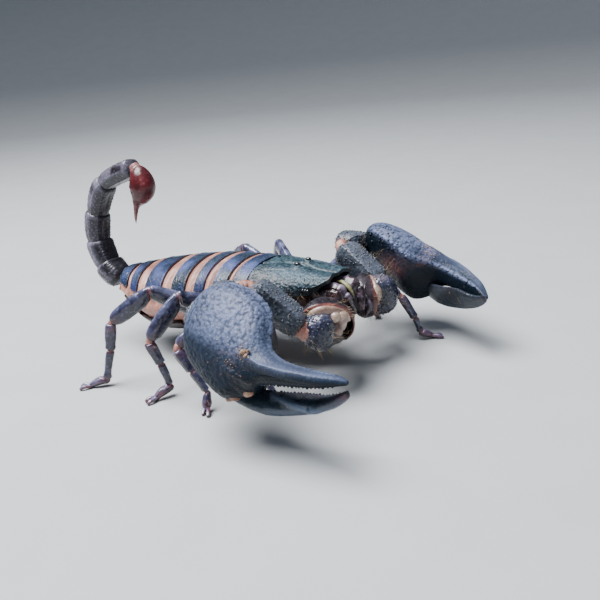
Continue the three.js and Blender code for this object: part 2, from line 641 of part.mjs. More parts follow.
const COMB = { length: 8.2, depth: 1.5, teeth: 11, tooth: 1.3, thickness: 0.6 };

// A bar with a row of blunt teeth along its rear edge, as an outline given a thickness.
function comb() {
  const outline = new THREE.Shape();
  outline.moveTo(0, 0);
  outline.quadraticCurveTo(COMB.length * 0.5, 0.7, COMB.length, 0.2);
  const pitch = COMB.length / COMB.teeth;
  for (let i = COMB.teeth; i > 0; i -= 1) {
    outline.lineTo(i * pitch, -COMB.depth);
    outline.lineTo((i - 0.15) * pitch, -COMB.depth - COMB.tooth);
    outline.lineTo((i - 0.75) * pitch, -COMB.depth - COMB.tooth);
    outline.lineTo((i - 0.88) * pitch, -COMB.depth);
  }
  outline.lineTo(0, -COMB.depth);
  outline.closePath();
  const settings = { depth: COMB.thickness, bevelEnabled: false, curveSegments: 3 };
  return new THREE.ExtrudeGeometry(outline, settings);
}

for (const [name, side] of SIDES) {
  const shape = comb();
  if (side < 0) shape.rotateY(Math.PI);
  shape.rotateX(radians(-7));
  shape.rotateZ(side * radians(26));
  shape.rotateY(side * radians(-16));
  const root = bodyPoint(0.9, side * 1.1, bellyHeight(2) - 1.5);
  shape.translate(root.x, root.y, root.z);
  add(`comb_${name}`, shape, MATERIALS.comb);
}

// ---- Tail (metasoma) and telson ------------------------------------------------------------

// A direction in the tail's own upright plane: 0 is straight back, 90 is up.
function tailWay(pitch) {
  const rise = Math.sin(radians(pitch));
  return vector(Math.sin(TAIL_LEAN) * rise, Math.cos(radians(pitch)), Math.cos(TAIL_LEAN) * rise);
}

const TAIL_ACROSS = vector(Math.cos(TAIL_LEAN), 0, -Math.sin(TAIL_LEAN));
const LAST_NECK = 2.2; // the last segment stops this far short of the vesicle's root

// How far two neighbours stay back from the joint between them, from the bend and the depth.
function neck(turn, depth) {
  return GAP * 0.6 + depth * 0.46 * Math.tan(radians(Math.abs(turn) / 2));
}

let joint = bodyPoint(TAIL_ROOT.station, 0, TAIL_ROOT.height);
TAIL_SEGMENTS.forEach(({ length, pitch, width, depth }, i) => {
  const next = joint.clone().addScaledVector(tailWay(pitch), length);
  const before = TAIL_SEGMENTS[i - 1];
  const after = TAIL_SEGMENTS[i + 1];
  const start = (before ? neck(pitch - before.pitch, depth) : 1) / length;
  const end = 1 - (after ? neck(after.pitch - pitch, depth) : LAST_NECK) / length;
  const share = (t) => THREE.MathUtils.lerp(start, end, t);
  const [w, h] = [width / 2, depth / 2];
  add(`tail_${i + 1}`, limb([joint, next], TAIL_ACROSS, [[
    [share(0), 0.82 * w, 0.84 * h], [share(0.16), 0.92 * w, 0.94 * h], [share(0.5), 0.97 * w, h],
    [share(0.84), w, h * 1.04], [share(1), 0.93 * w, 0.92 * h],
  ]], { sides: 12, square: 3, cap: 0.05 }), MATERIALS.tail);
  joint = next;
});

// The vesicle hangs from the tail's end: [share of its length, share of its width, share of its
// depth, how far its middle bows out on the lower side].
const VESICLE_SHAPE = [
  [-0.02, 0.3, 0.32, 0], [0.08, 0.62, 0.6, 0.7], [0.22, 0.9, 0.9, 1.3], [0.42, 1, 1, 1.7],
  [0.62, 0.94, 0.96, 1.6], [0.78, 0.76, 0.78, 1.2], [0.9, 0.5, 0.52, 0.6], [1, 0.27, 0.3, 0],
];

function telson() {
  const way = tailWay(VESICLE.pitch);
  const lower = tailWay(VESICLE.pitch - 90);
  const place = (share, bow) => joint.clone().addScaledVector(way, share * VESICLE.length)
    .addScaledVector(lower, bow);
  const rings = VESICLE_SHAPE.map(([share, wide, deep, bow]) => {
    const [w, h] = [(wide * VESICLE.width) / 2, (deep * VESICLE.depth) / 2];
    return limbRing(place(share, bow), way, TAIL_ACROSS, w, h, 10, 2);
  });
  return skinOver(rings, place(-0.05, 0), place(1.02, 0));
}

add('telson', telson(), MATERIALS.telson);

function sting() {
  const steps = 6;
  const along = VESICLE.length * 1.02 + GAP;
  const points = [joint.clone().addScaledVector(tailWay(VESICLE.pitch), along)];
  const shapes = [];
  for (let i = 0; i < steps; i += 1) {
    const way = tailWay(STING.pitch + STING.curl * (i / steps - 0.5));
    points.push(points[i].clone().addScaledVector(way, STING.length / steps));
    const radius = STING.radius * (1 - (0.66 * i) / (steps - 1));
    shapes.push(i === 0 ? [[0, radius, radius], [1, radius, radius]] : [[1, radius, radius]]);
  }
  return limb(points, TAIL_ACROSS, shapes, { sides: 6, square: 2, cap: 0.15 });
}

add('sting', sting(), MATERIALS.telson);

// The frame's origin is on the floor under the middle of the whole animal.
const bounds = new THREE.Box3().setFromObject(scorpion);
const middle = bounds.getCenter(vector(0, 0, 0));
scorpion.position.set(-middle.x, -middle.y, -bounds.min.z);

export default scorpion;
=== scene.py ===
import math

import bmesh
import bpy
import numpy as np
from mathutils import Matrix, Vector, noise


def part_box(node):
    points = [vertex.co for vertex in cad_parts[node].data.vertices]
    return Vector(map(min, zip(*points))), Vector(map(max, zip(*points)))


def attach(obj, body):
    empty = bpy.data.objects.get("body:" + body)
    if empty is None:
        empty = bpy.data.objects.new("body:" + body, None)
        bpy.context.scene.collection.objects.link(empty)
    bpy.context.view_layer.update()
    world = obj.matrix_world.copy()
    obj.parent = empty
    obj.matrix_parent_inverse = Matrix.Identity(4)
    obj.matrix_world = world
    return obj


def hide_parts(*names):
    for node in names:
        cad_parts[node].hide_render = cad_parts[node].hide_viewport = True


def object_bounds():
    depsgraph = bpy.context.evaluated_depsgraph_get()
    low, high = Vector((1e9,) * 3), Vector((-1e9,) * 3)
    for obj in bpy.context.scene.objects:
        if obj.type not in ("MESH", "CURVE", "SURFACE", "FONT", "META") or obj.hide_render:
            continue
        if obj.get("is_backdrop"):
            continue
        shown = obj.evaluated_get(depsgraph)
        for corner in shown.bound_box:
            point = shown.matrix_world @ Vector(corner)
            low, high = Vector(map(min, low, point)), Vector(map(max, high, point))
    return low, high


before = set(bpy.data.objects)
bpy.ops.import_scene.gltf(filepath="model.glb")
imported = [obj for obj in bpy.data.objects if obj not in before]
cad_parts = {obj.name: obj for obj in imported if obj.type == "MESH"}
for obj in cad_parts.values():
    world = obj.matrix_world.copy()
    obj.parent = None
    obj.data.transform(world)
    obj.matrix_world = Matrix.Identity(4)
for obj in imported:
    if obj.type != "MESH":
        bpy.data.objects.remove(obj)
cad_low, cad_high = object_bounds()
MM = 0.001

# ---- The showing place --------------------------------------------------------------------
# A pale matt floor that runs flat far past the animal and then curves up all round, one broad
# soft lamp high behind its left, one weaker one in front, and a lens held low on its right.

FLOOR_REACH = (0.2, 0.6, 1.0, 1.3, 1.5, 1.6, 1.62)
FLOOR_RISE = (0.0, 0.0, 0.03, 0.16, 0.42, 0.8, 1.3)
FLOOR_SIDES = 72
LENS = 47.03
HEADING = math.radians(-52.0)
HEIGHT = math.radians(18.5)
TILT = math.radians(-5.5)
DISTANCE = 149.8 * MM
AIM_FROM_MIDDLE = Vector((0.1, -11.85, 14.1)) * MM
ROOM_LIGHT = (0.68, 0.80, 1.0, 1)
ROOM_STRENGTH = 0.40
# Each lamp's place, breadth, power in watts and colour.
HIGH_LAMP = ((-0.10, 0.12, 0.46), 0.36, 9.2, (0.95, 0.975, 1.0))
FRONT_LAMP = ((-0.42, -0.30, 0.34), 0.30, 0.25, (0.86, 0.92, 1.0))


def node(tree, kind, inputs=None, **settings):
    """One node of a tree. Each input is a value, or another node's output to link."""
    made = tree.nodes.new(kind)
    for key, value in settings.items():
        setattr(made, key, value)
    for socket, value in (inputs or {}).items():
        if isinstance(value, bpy.types.NodeSocket):
            tree.links.new(value, made.inputs[socket])
        else:
            made.inputs[socket].default_value = value
    return made


def new_material(name):
    """A material with no nodes yet, and its tree."""
    made = bpy.data.materials.new(name)
    made.use_nodes = True
    made.node_tree.nodes.clear()
    return made, made.node_tree


def close_material(tree, colour, roughness, normal, **constants):
    """The surface shader, with its even values set on its own sockets."""
    shader = node(tree, "ShaderNodeBsdfPrincipled", {
        "Base Color": colour, "Roughness": roughness, "Normal": normal})
    for socket, value in constants.items():
        shader.inputs[socket.replace("_", " ")].default_value = value
    node(tree, "ShaderNodeOutputMaterial", {"Surface": shader.outputs["BSDF"]})


def mesh_of(name, faces):
    """A plain mesh of the faces built so far, whose builder is then let go."""
    made = bpy.data.meshes.new(name)
    faces.to_mesh(made)
    faces.free()
    return made


dish = bmesh.new()
turns = [2 * math.pi * i / FLOOR_SIDES for i in range(FLOOR_SIDES)]
rounds = []
for reach, rise in zip(FLOOR_REACH, FLOOR_RISE):
    rounds.append([
        dish.verts.new((reach * math.cos(t), reach * math.sin(t), rise)) for t in turns])
dish.faces.new(rounds[0])
for inner, outer in zip(rounds, rounds[1:]):
    for i in range(FLOOR_SIDES):
        after = (i + 1) % FLOOR_SIDES
        dish.faces.new((inner[i], outer[i], outer[after], inner[after]))
floor_mesh = mesh_of("floor", dish)
floor_mesh.polygons.foreach_set("use_smooth", [True] * len(floor_mesh.polygons))
floor = bpy.data.objects.new("floor", floor_mesh)
bpy.context.scene.collection.objects.link(floor)
floor_finish, tree = new_material("floor plaster")
place = node(tree, "ShaderNodeTexCoord").outputs["Object"]
cloud = node(tree, "ShaderNodeTexNoise", {"Vector": place, "Scale": 60.0, "Detail": 4.0})
shade = node(tree, "ShaderNodeMix", {
    0: cloud.outputs["Fac"], 6: (0.38, 0.385, 0.39, 1), 7: (0.43, 0.435, 0.44, 1)},
    data_type="RGBA")
bump = node(tree, "ShaderNodeBump", {
    "Height": cloud.outputs["Fac"], "Strength": 0.1, "Distance": MM})
close_material(tree, shade.outputs[2], 0.8, bump.outputs["Normal"])
floor_mesh.materials.append(floor_finish)
floor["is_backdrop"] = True

world = bpy.data.worlds.new("room")
world.use_nodes = True
backdrop = world.node_tree.nodes["Background"]
backdrop.inputs["Color"].default_value = ROOM_LIGHT
backdrop.inputs["Strength"].default_value = ROOM_STRENGTH
bpy.context.scene.world = world


def soft_lamp(name, aim, place, size, power, colour):
    """A round lamp at a place, turned toward its aim."""
    lamp = bpy.data.lights.new(name, "AREA")
    lamp.shape = "DISK"
    lamp.size = size
    lamp.energy = power
    lamp.color = colour
    holder = bpy.data.objects.new(name, lamp)
    holder.location = place
    holder.rotation_euler = (Vector(aim) - Vector(place)).to_track_quat("-Z", "Y").to_euler()
    bpy.context.scene.collection.objects.link(holder)


middle = (cad_low + cad_high) / 2
soft_lamp("high lamp", middle, *HIGH_LAMP)
soft_lamp("front lamp", middle, *FRONT_LAMP)

camera = bpy.data.objects.new("camera", bpy.data.cameras.new("camera"))
camera.data.lens = LENS
camera.data.clip_start = 0.005
camera.data.clip_end = 10
bpy.context.scene.collection.objects.link(camera)
bpy.context.scene.camera = camera
away = Vector((math.sin(HEADING) * math.cos(HEIGHT), -math.cos(HEADING) * math.cos(HEIGHT),
               math.sin(HEIGHT)))
level = (-away).cross(Vector((0, 0, 1))).normalized()
upright = level.cross(-away)
across = math.cos(TILT) * level + math.sin(TILT) * upright
above = -math.sin(TILT) * level + math.cos(TILT) * upright
aim = Vector((middle.x, middle.y, 0)) + AIM_FROM_MIDDLE
camera.matrix_world = Matrix.Translation(aim + away * DISTANCE) @ Matrix(
    (across, above, away)).transposed().to_4x4()

# ---- Soft skin of the trunk ---------------------------------------------------------------
# The pleated membrane that joins the plates of back and belly. It is stretched tight on this
# swollen female, salmon pink on the flanks, tanner between the back plates. It is one closed
# skin that lies just inside its solid, and the plates sit on it with their edges free.

SKIN_IN = 0.05 * MM
BAND_SWELL = 0.36 * MM
BAND_SOFTNESS = 0.5 * MM
PLEAT_DEPTH = 0.07 * MM
PLEAT_FINENESS = np.array((500, 1600, 500))
# The trunk is bent sideways on an arc of this radius.
BEND = 106 * MM
MERGE = 0.002 * MM


def cage_of(name):
    """A solid's faces as a cage of mostly four-sided faces."""
    cage = bmesh.new()
    cage.from_mesh(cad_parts[name].data)
    bmesh.ops.remove_doubles(cage, verts=cage.verts, dist=MERGE)
    bmesh.ops.join_triangles(cage, faces=cage.faces, angle_face_threshold=math.radians(50),
                             angle_shape_threshold=math.pi)
    return cage


def corners(mesh):
    """The places of a mesh's corners."""
    flat = np.empty(len(mesh.vertices) * 3, np.float32)
    mesh.vertices.foreach_get("co", flat)
    return flat.reshape(-1, 3).astype(float)


def facings(mesh):
    """The way that the surface faces at each of a mesh's corners."""
    flat = np.empty(len(mesh.vertices) * 3, np.float32)
    mesh.vertex_normals.foreach_get("vector", flat)
    return flat.reshape(-1, 3).astype(float)


def move_corners(mesh, places):
    """Sets a mesh's corners, with none of them below the floor."""
    places[:, 2] = np.maximum(places[:, 2], 0)
    mesh.vertices.foreach_set("co", np.ascontiguousarray(places, np.float32).ravel())
    mesh.update()


def smooth(cage, rounds, sharp=55, passes=3):
    """A fine surface that passes through the cage's corners, with its sharp edges kept."""
    crease = cage.edges.layers.float.new("crease_edge")
    for edge in cage.edges:
        if edge.is_manifold and edge.calc_face_angle() > math.radians(sharp):
            edge[crease] = 0.8
    mesh = mesh_of("cage", cage)
    holder = bpy.data.objects.new("cage", mesh)
    bpy.context.scene.collection.objects.link(holder)
    rounding = holder.modifiers.new("rounding", "SUBSURF")
    rounding.levels = rounding.render_levels = 1
    wanted = corners(mesh)
    for _ in range(passes):
        bpy.context.view_layer.update()
        graph = bpy.context.evaluated_depsgraph_get()
        settled = corners(holder.evaluated_get(graph).data)[:len(wanted)]
        move_corners(mesh, corners(mesh) + 0.9 * (wanted - settled))
    rounding.levels = rounding.render_levels = rounds
    bpy.context.view_layer.update()
    graph = bpy.context.evaluated_depsgraph_get()
    fine = bpy.data.meshes.new_from_object(holder.evaluated_get(graph))
    bpy.data.objects.remove(holder)
    bpy.data.meshes.remove(mesh)
    return fine


def paint(mesh, name, values):
    """A value at each corner of a mesh, for a finish or for what grows on it."""
    if name in mesh.attributes:
        mesh.attributes.remove(mesh.attributes[name])
    layer = mesh.attributes.new(name, "FLOAT", "POINT")
    layer.data.foreach_set("value", np.clip(values, 0, 1).astype(np.float32))


def piece(name, mesh, finish, slot, *nodes):
    """One finished piece, which rides on the body and stands for its solids."""
    mesh.materials.clear()
    mesh.materials.append(finish)
    mesh.polygons.foreach_set("use_smooth", [True] * len(mesh.polygons))
    made = bpy.data.objects.new(name, mesh)
    bpy.context.scene.collection.objects.link(made)
    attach(made, "root")
    if nodes:
        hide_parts(*nodes)
    return made


def group(name, inputs, outputs):
    """An empty shader group with named inputs and outputs, and its two end nodes."""
    made = bpy.data.node_groups.new(name, "ShaderNodeTree")
    kinds = {"vector": "NodeSocketVector", "value": "NodeSocketFloat", "colour": "NodeSocketColor"}
    for label, kind in inputs.items():
        made.interface.new_socket(label, in_out="INPUT", socket_type=kinds[kind])
    for label, kind in outputs.items():
        made.interface.new_socket(label, in_out="OUTPUT", socket_type=kinds[kind])
    start = made.nodes.new("NodeGroupInput")
    end = made.nodes.new("NodeGroupOutput")
    return made, start.outputs, end.inputs


def math_node(tree, operation, first, second=0.0, clamp=False):
    """One sum on two values of a tree."""
    made = node(tree, "ShaderNodeMath", {0: first, 1: second}, operation=operation)
    made.use_clamp = clamp
    return made.outputs[0]


def mix_colours(tree, share, first, second):
    """The first colour where a share is 0, and the second where it is 1."""
    made = node(tree, "ShaderNodeMix", {0: share, 6: first, 7: second}, data_type="RGBA")
    return made.outputs[2]


def stretch(tree, value, low, high):
    """A value spread so that low becomes 0 and high becomes 1."""
    made = node(tree, "ShaderNodeMapRange", {
        "Value": value, "From Min": low, "From Max": high}, interpolation_type="SMOOTHSTEP")
    return made.outputs["Result"]


# Clouds of two colours, with a share that says how far each has won.
clouding, start, end = group("clouding", {
    "Place": "vector", "Size": "value", "Deep": "colour", "Pale": "colour"},
    {"Colour": "colour", "Share": "value"})
cloud = node(clouding, "ShaderNodeTexNoise", {
    "Vector": start["Place"], "Scale": start["Size"], "Detail": 6.0, "Roughness": 0.6})
share = stretch(clouding, cloud.outputs["Fac"], 0.36, 0.66)
clouding.links.new(mix_colours(clouding, share, start["Deep"], start["Pale"]), end["Colour"])
clouding.links.new(share, end["Share"])

# Fine creases: noise drawn out along one way, for membranes and worn shell.
creasing, start, end = group("creasing", {"Place": "vector", "Size": "value"}, {"Height": "value"})
crease_noise = node(creasing, "ShaderNodeTexNoise", {
    "Vector": start["Place"], "Scale": start["Size"], "Detail": 5.0, "Roughness": 0.62,
    "Distortion": 0.6})
ridges = math_node(creasing, "ABSOLUTE", math_node(
    creasing, "SUBTRACT", crease_noise.outputs["Fac"], 0.5))
creasing.links.new(stretch(creasing, ridges, 0.0, 0.16), end["Height"])


def use(tree, shared, **inputs):
    """The outputs of a shared group, placed in a material with its own values."""
    return node(tree, "ShaderNodeGroup", inputs, node_tree=shared).outputs


def membrane_finish(name, deep, pale, brown, run=(0.5, 1.6, 0.6), wet=0.15):
    """Soft joint skin: pink clouds, brown dots, and creases across the way that it folds, with
    painted shade in the creases.
    """
    made, tree = new_material(name)
    place = node(tree, "ShaderNodeTexCoord").outputs["Object"]
    drawn = node(tree, "ShaderNodeMapping", {"Vector": place, "Scale": run}).outputs[0]
    base = use(tree, clouding, Place=place, Size=260.0, Deep=deep, Pale=pale)
    folds = use(tree, creasing, Place=drawn, Size=900.0)["Height"]
    spots = node(tree, "ShaderNodeTexNoise", {"Vector": place, "Scale": 1500.0, "Detail": 3.0})
    spotted = stretch(tree, spots.outputs["Fac"], 0.56, 0.74)
    colour = mix_colours(tree, math_node(tree, "MULTIPLY", spotted, 0.45), base["Colour"], brown)
    # Painted shade: the crease lines are darkened toward brown.
    fold_shade = math_node(tree, "MULTIPLY", math_node(tree, "SUBTRACT", 1.0, folds), 0.35)
    colour = mix_colours(tree, fold_shade, colour, brown)
    stain_and_glint = node(tree, "ShaderNodeAttribute", attribute_name="stain_and_glint").outputs["Fac"]
    colour = mix_colours(tree, stain_and_glint, colour, brown)
    height = math_node(tree, "ADD", folds, math_node(tree, "MULTIPLY", spotted, 0.4))
    bump = node(tree, "ShaderNodeBump", {"Height": height, "Strength": 0.7, "Distance": 0.05 * MM})
    roughness = node(tree, "ShaderNodeMapRange", {
        "Value": base["Share"], "To Min": 0.42, "To Max": 0.6}).outputs[0]
    close_material(tree, colour, roughness, bump.outputs["Normal"], Coat_Weight=wet,
                   Coat_Roughness=0.22)
    return made


def station_of(places):
    """How far behind the carapace each place lies, along the bent middle line of the body."""
    return BEND * np.arctan2(places[:, 1] - rear_edge, places[:, 0] - (midline - BEND))


def meet(values, low, high, soft):
    """1 between low and high, falling softly to 0 outside them."""
    return np.clip((values - low) / soft + 0.5, 0, 1) * np.clip((high - values) / soft + 0.5, 0, 1)


def lumps_at(places, fineness):
    """Soft random lumps, from -1 to 1. A greater fineness makes them smaller."""
    return np.array([noise.noise(Vector(p * fineness)) for p in places])


low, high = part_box("carapace")
midline, rear_edge = (low.x + high.x) / 2, high.y
flank_finish = membrane_finish("trunk membrane", (0.42, 0.165, 0.12, 1), (0.70, 0.38, 0.29, 1),
                               (0.17, 0.08, 0.06, 1))
skin = smooth(cage_of("trunk_skin"), 4, sharp=70)
places, facing = corners(skin), facings(skin)
station = station_of(places)
pleats = lumps_at(places * PLEAT_FINENESS, 1)
spans = [station_of(corners(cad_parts[f"tergite_{n}"].data)) for n in range(1, 8)]
swell = np.zeros(len(places))
for before, after in zip(spans, spans[1:]):
    swell = np.maximum(swell, meet(station, before.max() - 0.1 * MM, after.min() + 0.1 * MM,
                                   BAND_SOFTNESS))
low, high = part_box("trunk_skin")
rise = (places[:, 2] - low.z) / (high.z - low.z)
swell *= np.clip((rise - 0.42) * 8, 0, 1)
move_corners(skin, places + facing * (
    BAND_SWELL * swell - SKIN_IN - PLEAT_DEPTH * (0.5 - 0.5 * pleats))[:, None])
paint(skin, "stain_and_glint", 0.5 * np.clip((rise - 0.72) / 0.25, 0, 1) * (0.7 + pleats))
piece("trunk_membrane", skin, flank_finish, "membrane", "trunk_skin")

# ---- Plates of the back -------------------------------------------------------------------
# Seven overlapping tergites of hard dark shell, with painted blue to violet glints and sheen where
# light grazes them, with a fine grain that grows coarser to the rear edge, and a rolled rim. The
# seventh has two pairs of low keels. Each sits on the membrane by its front edge.

BEAD = 0.10 * MM
KEEL = 0.14 * MM
PLATE_GRAIN = 0.42 * MM
PLATE_GRAIN_RISE = 0.05 * MM
MIDDLE_RIDGE = 0.08 * MM

# Rounded pebbles set close together, with a mask of their tops.
pebbling, start, end = group("pebbling", {"Place": "vector", "Size": "value"},
                             {"Height": "value", "Tops": "value"})
bend = node(pebbling, "ShaderNodeTexNoise", {"Vector": start["Place"], "Scale": 700.0})
shifted = node(pebbling, "ShaderNodeVectorMath", {
    0: bend.outputs["Color"], "Scale": 0.0005}, operation="SCALE").outputs[0]
moved = node(pebbling, "ShaderNodeVectorMath", {0: start["Place"], 1: shifted}).outputs[0]
cells = node(pebbling, "ShaderNodeTexVoronoi", {
    "Vector": moved, "Scale": start["Size"], "Smoothness": 0.35}, feature="SMOOTH_F1")
rounded = math_node(pebbling, "SUBTRACT", 1.0, cells.outputs["Distance"], clamp=True)
pebbling.links.new(rounded, end["Height"])
pebbling.links.new(stretch(pebbling, rounded, 0.55, 0.95), end["Tops"])

# Settled dust and old soil, in ragged patches.
soiling, start, end = group("soiling", {"Place": "vector", "Size": "value"}, {"Mask": "value"})
patches = node(soiling, "ShaderNodeTexNoise", {
    "Vector": start["Place"], "Scale": start["Size"], "Detail": 9.0, "Roughness": 0.72})
soiling.links.new(stretch(soiling, patches.outputs["Fac"], 0.46, 0.62), end["Mask"])


def shell_finish(name, deep, pale, wear_highlight_colour, stain_and_glint, cloud=320.0, pebble=1700.0, relief=0.04,
                 top_highlight_share=0.4, gloss=(0.26, 0.5), polish=0.25, shine=0.32):
    """Hard cuticle. Its pebble tops take the pale colour as a painted highlight, and so does its
    attribute of wear and painted highlight. Its stain attribute takes the stain colour, as real
    stains and, on the back plates, a painted glint; its shade attribute paints shade in the deep
    colour."""
    made, tree = new_material(name)
    place = node(tree, "ShaderNodeTexCoord").outputs["Object"]
    base = use(tree, clouding, Place=place, Size=cloud, Deep=deep, Pale=pale)
    pebbles = use(tree, pebbling, Place=place, Size=pebble)
    fine = node(tree, "ShaderNodeTexNoise", {
        "Vector": place, "Scale": pebble * 2.6, "Detail": 4.0})
    # Painted highlight: the pebble tops take the pale colour. The wear attribute carries wear and
    # painted highlight, and the shade attribute carries painted shade.
    highlighted_tops = math_node(tree, "MULTIPLY", pebbles["Tops"], top_highlight_share)
    colour = mix_colours(tree, highlighted_tops, base["Colour"], wear_highlight_colour)
    patches = use(tree, soiling, Place=place, Size=900.0)["Mask"]
    given = node(tree, "ShaderNodeAttribute", attribute_name="stain_and_glint").outputs["Fac"]
    stain_and_glint_share = math_node(tree, "MULTIPLY", given, math_node(
        tree, "ADD", math_node(tree, "MULTIPLY", patches, 0.6), 0.4))
    colour = mix_colours(tree, stain_and_glint_share, colour, stain_and_glint)
    wear_and_highlight = node(tree, "ShaderNodeAttribute", attribute_name="wear_and_highlight").outputs["Fac"]
    colour = mix_colours(tree, math_node(tree, "MULTIPLY", wear_and_highlight, 0.6), colour, wear_highlight_colour)
    shade = node(tree, "ShaderNodeAttribute", attribute_name="shade").outputs["Fac"]
    colour = mix_colours(tree, shade, colour, deep)
    blur = math_node(tree, "ADD", math_node(tree, "MULTIPLY", base["Share"], 0.6),
                     math_node(tree, "MULTIPLY", fine.outputs["Fac"], 0.4))
    roughness = node(tree, "ShaderNodeMapRange", {
        "Value": math_node(tree, "ADD", blur, stain_and_glint_share), "To Min": gloss[0],
        "To Max": gloss[1]}).outputs[0]
    height = math_node(tree, "ADD", pebbles["Height"],
                       math_node(tree, "MULTIPLY", fine.outputs["Fac"], 0.35))
    bump = node(tree, "ShaderNodeBump", {
        "Height": height, "Strength": 1.0, "Distance": relief * MM})
    close_material(tree, colour, roughness, bump.outputs["Normal"], Coat_Weight=polish,
                   Coat_Roughness=0.18, Specular_IOR_Level=shine)
    return made


def share_along(places, axis):
    """How far each place lies along an axis, from 0 at the first to 1 at the last."""
    run = places @ np.array(axis)
    return (run - run.min()) / (run.max() - run.min())


def centre_of(name):
    """The middle of a solid's box."""
    low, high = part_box(name)
    return (low + high) / 2


def bell(values, middle, width):
    """1 at the middle, falling softly to 0 a couple of widths away."""
    return np.exp(-(((values - middle) / width) ** 2))


def cells_at(places, size):
    """Close-set rounded bumps: 1 at the middle of each, 0 in the grooves between them."""
    depth = np.array([noise.voronoi(Vector(p / size))[0][0] for p in places])
    return 1 - np.clip(depth * 1.25, 0, 1) ** 1.5


back_finish = shell_finish("back shell", (0.004, 0.009, 0.015, 1), (0.014, 0.026, 0.042, 1),
                           (0.15, 0.21, 0.46, 1), (0.045, 0.055, 0.23, 1), pebble=2100.0,
                           relief=0.035, top_highlight_share=0.2, gloss=(0.28, 0.5), polish=0.2)
for number in range(1, 8):
    name = f"tergite_{number}"
    ahead = centre_of(f"tergite_{number - 1}") if number > 1 else centre_of("carapace")
    behind = centre_of(f"tergite_{number + 1}") if number < 7 else centre_of("tail_1")
    run = Vector((behind - ahead)[:2]).to_3d().normalized()
    sideways = Vector((-run.y, run.x, 0))
    mesh = smooth(cage_of(name), 4, sharp=60)
    places, facing = corners(mesh), facings(mesh)
    back = share_along(places, run)
    off = (places - np.array(centre_of(name))) @ np.array(sideways)
    off = np.abs(off) / np.abs(off).max()
    outer = np.clip(facing[:, 2] * 3 + 0.8, 0, 1)
    grains = cells_at(places, PLATE_GRAIN)
    coarser = np.clip(back * 2 - 0.4, 0.15, 1)
    relief = BEAD * bell(back, 0.95, 0.05) + PLATE_GRAIN_RISE * grains * coarser
    relief += MIDDLE_RIDGE * bell(off, 0, 0.04) * (1 - bell(back, 1, 0.15))
    if number == 7:
        relief += KEEL * (bell(off, 0.28, 0.035) + bell(off, 0.62, 0.035)) * (back > 0.25)
    move_corners(mesh, places + facing * (relief * outer)[:, None])
    # Painted glint: a mottled violet-blue over each plate's flanks, weaker on the seventh, given
    # through the stain attribute. Painted sheen in each plate's middle and painted highlight on
    # the grain tops, with paler rear rims.
    clouds = lumps_at(places, 260)
    glint_strength = 0.35 if number == 7 else 1.0
    paint(mesh, "stain_and_glint", glint_strength * (0.45 + 1.2 * clouds) * bell(off, 0.62, 0.35))
    sheen = bell(off, 0.5, 0.25) * bell(back, 0.5, 0.35) * np.clip(0.6 + 1.2 * clouds, 0, 1)
    paint(mesh, "wear_and_highlight", 0.35 * bell(back, 0.96, 0.04) + 0.3 * (grains > 0.72) + 0.35 * sheen)
    piece(f"back_plate_{number}", mesh, back_finish, "back", name)

# ---- Plates of the belly ------------------------------------------------------------------
# Five smooth brown-black sternites, each a broad shallow trough, with a pair of slit-shaped
# breathing holes in each of the first four. They are seen only from below and behind.

SLIT = Vector((0.9, 0.28, 0.16)) * MM
SLIT_FROM_MIDDLE = 0.30

belly_finish = shell_finish("belly shell", (0.020, 0.012, 0.012, 1), (0.07, 0.045, 0.045, 1),
                            (0.12, 0.09, 0.10, 1), (0.16, 0.07, 0.05, 1), pebble=2600.0,
                            relief=0.02, top_highlight_share=0.15, gloss=(0.3, 0.5))
for number in range(3, 8):
    name = f"sternite_{number}"
    mesh = smooth(cage_of(name), 3, sharp=60)
    places, facing = corners(mesh), facings(mesh)
    low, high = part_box(name)
    middle = (low + high) / 2
    inner = np.zeros(len(places))
    if number < 7:
        for side in (-1, 1):
            spot = np.array((middle.x + side * SLIT_FROM_MIDDLE * (high.x - low.x), middle.y))
            reach = (places[:, :2] - spot) / np.array((SLIT.x, SLIT.y))
            inner += np.exp(-(reach ** 2).sum(1)) * (facing[:, 2] < 0)
    move_corners(mesh, places - facing * (SLIT.z * inner)[:, None])
    paint(mesh, "stain_and_glint", inner)
    piece(f"belly_plate_{number}", mesh, belly_finish, "belly", name)

# ---- Carapace -----------------------------------------------------------------------------
# The single shield of the head: two lobes at the front with a notch between, a middle furrow
# that parts round the eye hump and forks at the rear, side furrows over the leg bases, coarse
# grain on the flanks, and a thin red-brown rim. Cast in one with the shell below its edge.

FURROW = 0.28 * MM
FLANK_GRAIN = 0.17 * MM
SHIELD_WAVES = 0.12 * MM
SHIELD_RIM = 0.10 * MM
EYE_MOUND = 0.34 * MM
EYES_BACK = 0.50
HOOD_REACH = 1.3 * MM
RIM_LIFT = 0.5 * MM

low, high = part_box("carapace")
carapace_finish = shell_finish("carapace shell", (0.003, 0.012, 0.016, 1),
                               (0.009, 0.030, 0.038, 1), (0.15, 0.22, 0.30, 1),
                               (0.26, 0.16, 0.11, 1), pebble=1900.0, relief=0.10,
                               top_highlight_share=0.34, gloss=(0.36, 0.56), polish=0.06)
mesh = smooth(cage_of("carapace"), 4, sharp=60)
places, facing = corners(mesh), facings(mesh)
back = (places[:, 1] - low.y) / (high.y - low.y)
half = (high.x - low.x) / 2 * (0.62 + 0.38 * np.clip(back, 0, 1))
side = (places[:, 0] - midline) / half
off = np.abs(side)
outer = np.clip(facing[:, 2] * 4 + 1.4, 0, 1)
fork = np.clip((back - 0.78) * 1.6, 0, 1)
part = 0.13 * bell(back, EYES_BACK, 0.12)
relief = -FURROW * bell(off, fork + part * 0.5, 0.035 + 0.02 * back) * (back > 0.03)
relief -= 0.7 * FURROW * bell(off - 0.52 - 0.25 * (back - 0.55), 0, 0.04) * bell(back, 0.72, 0.16)
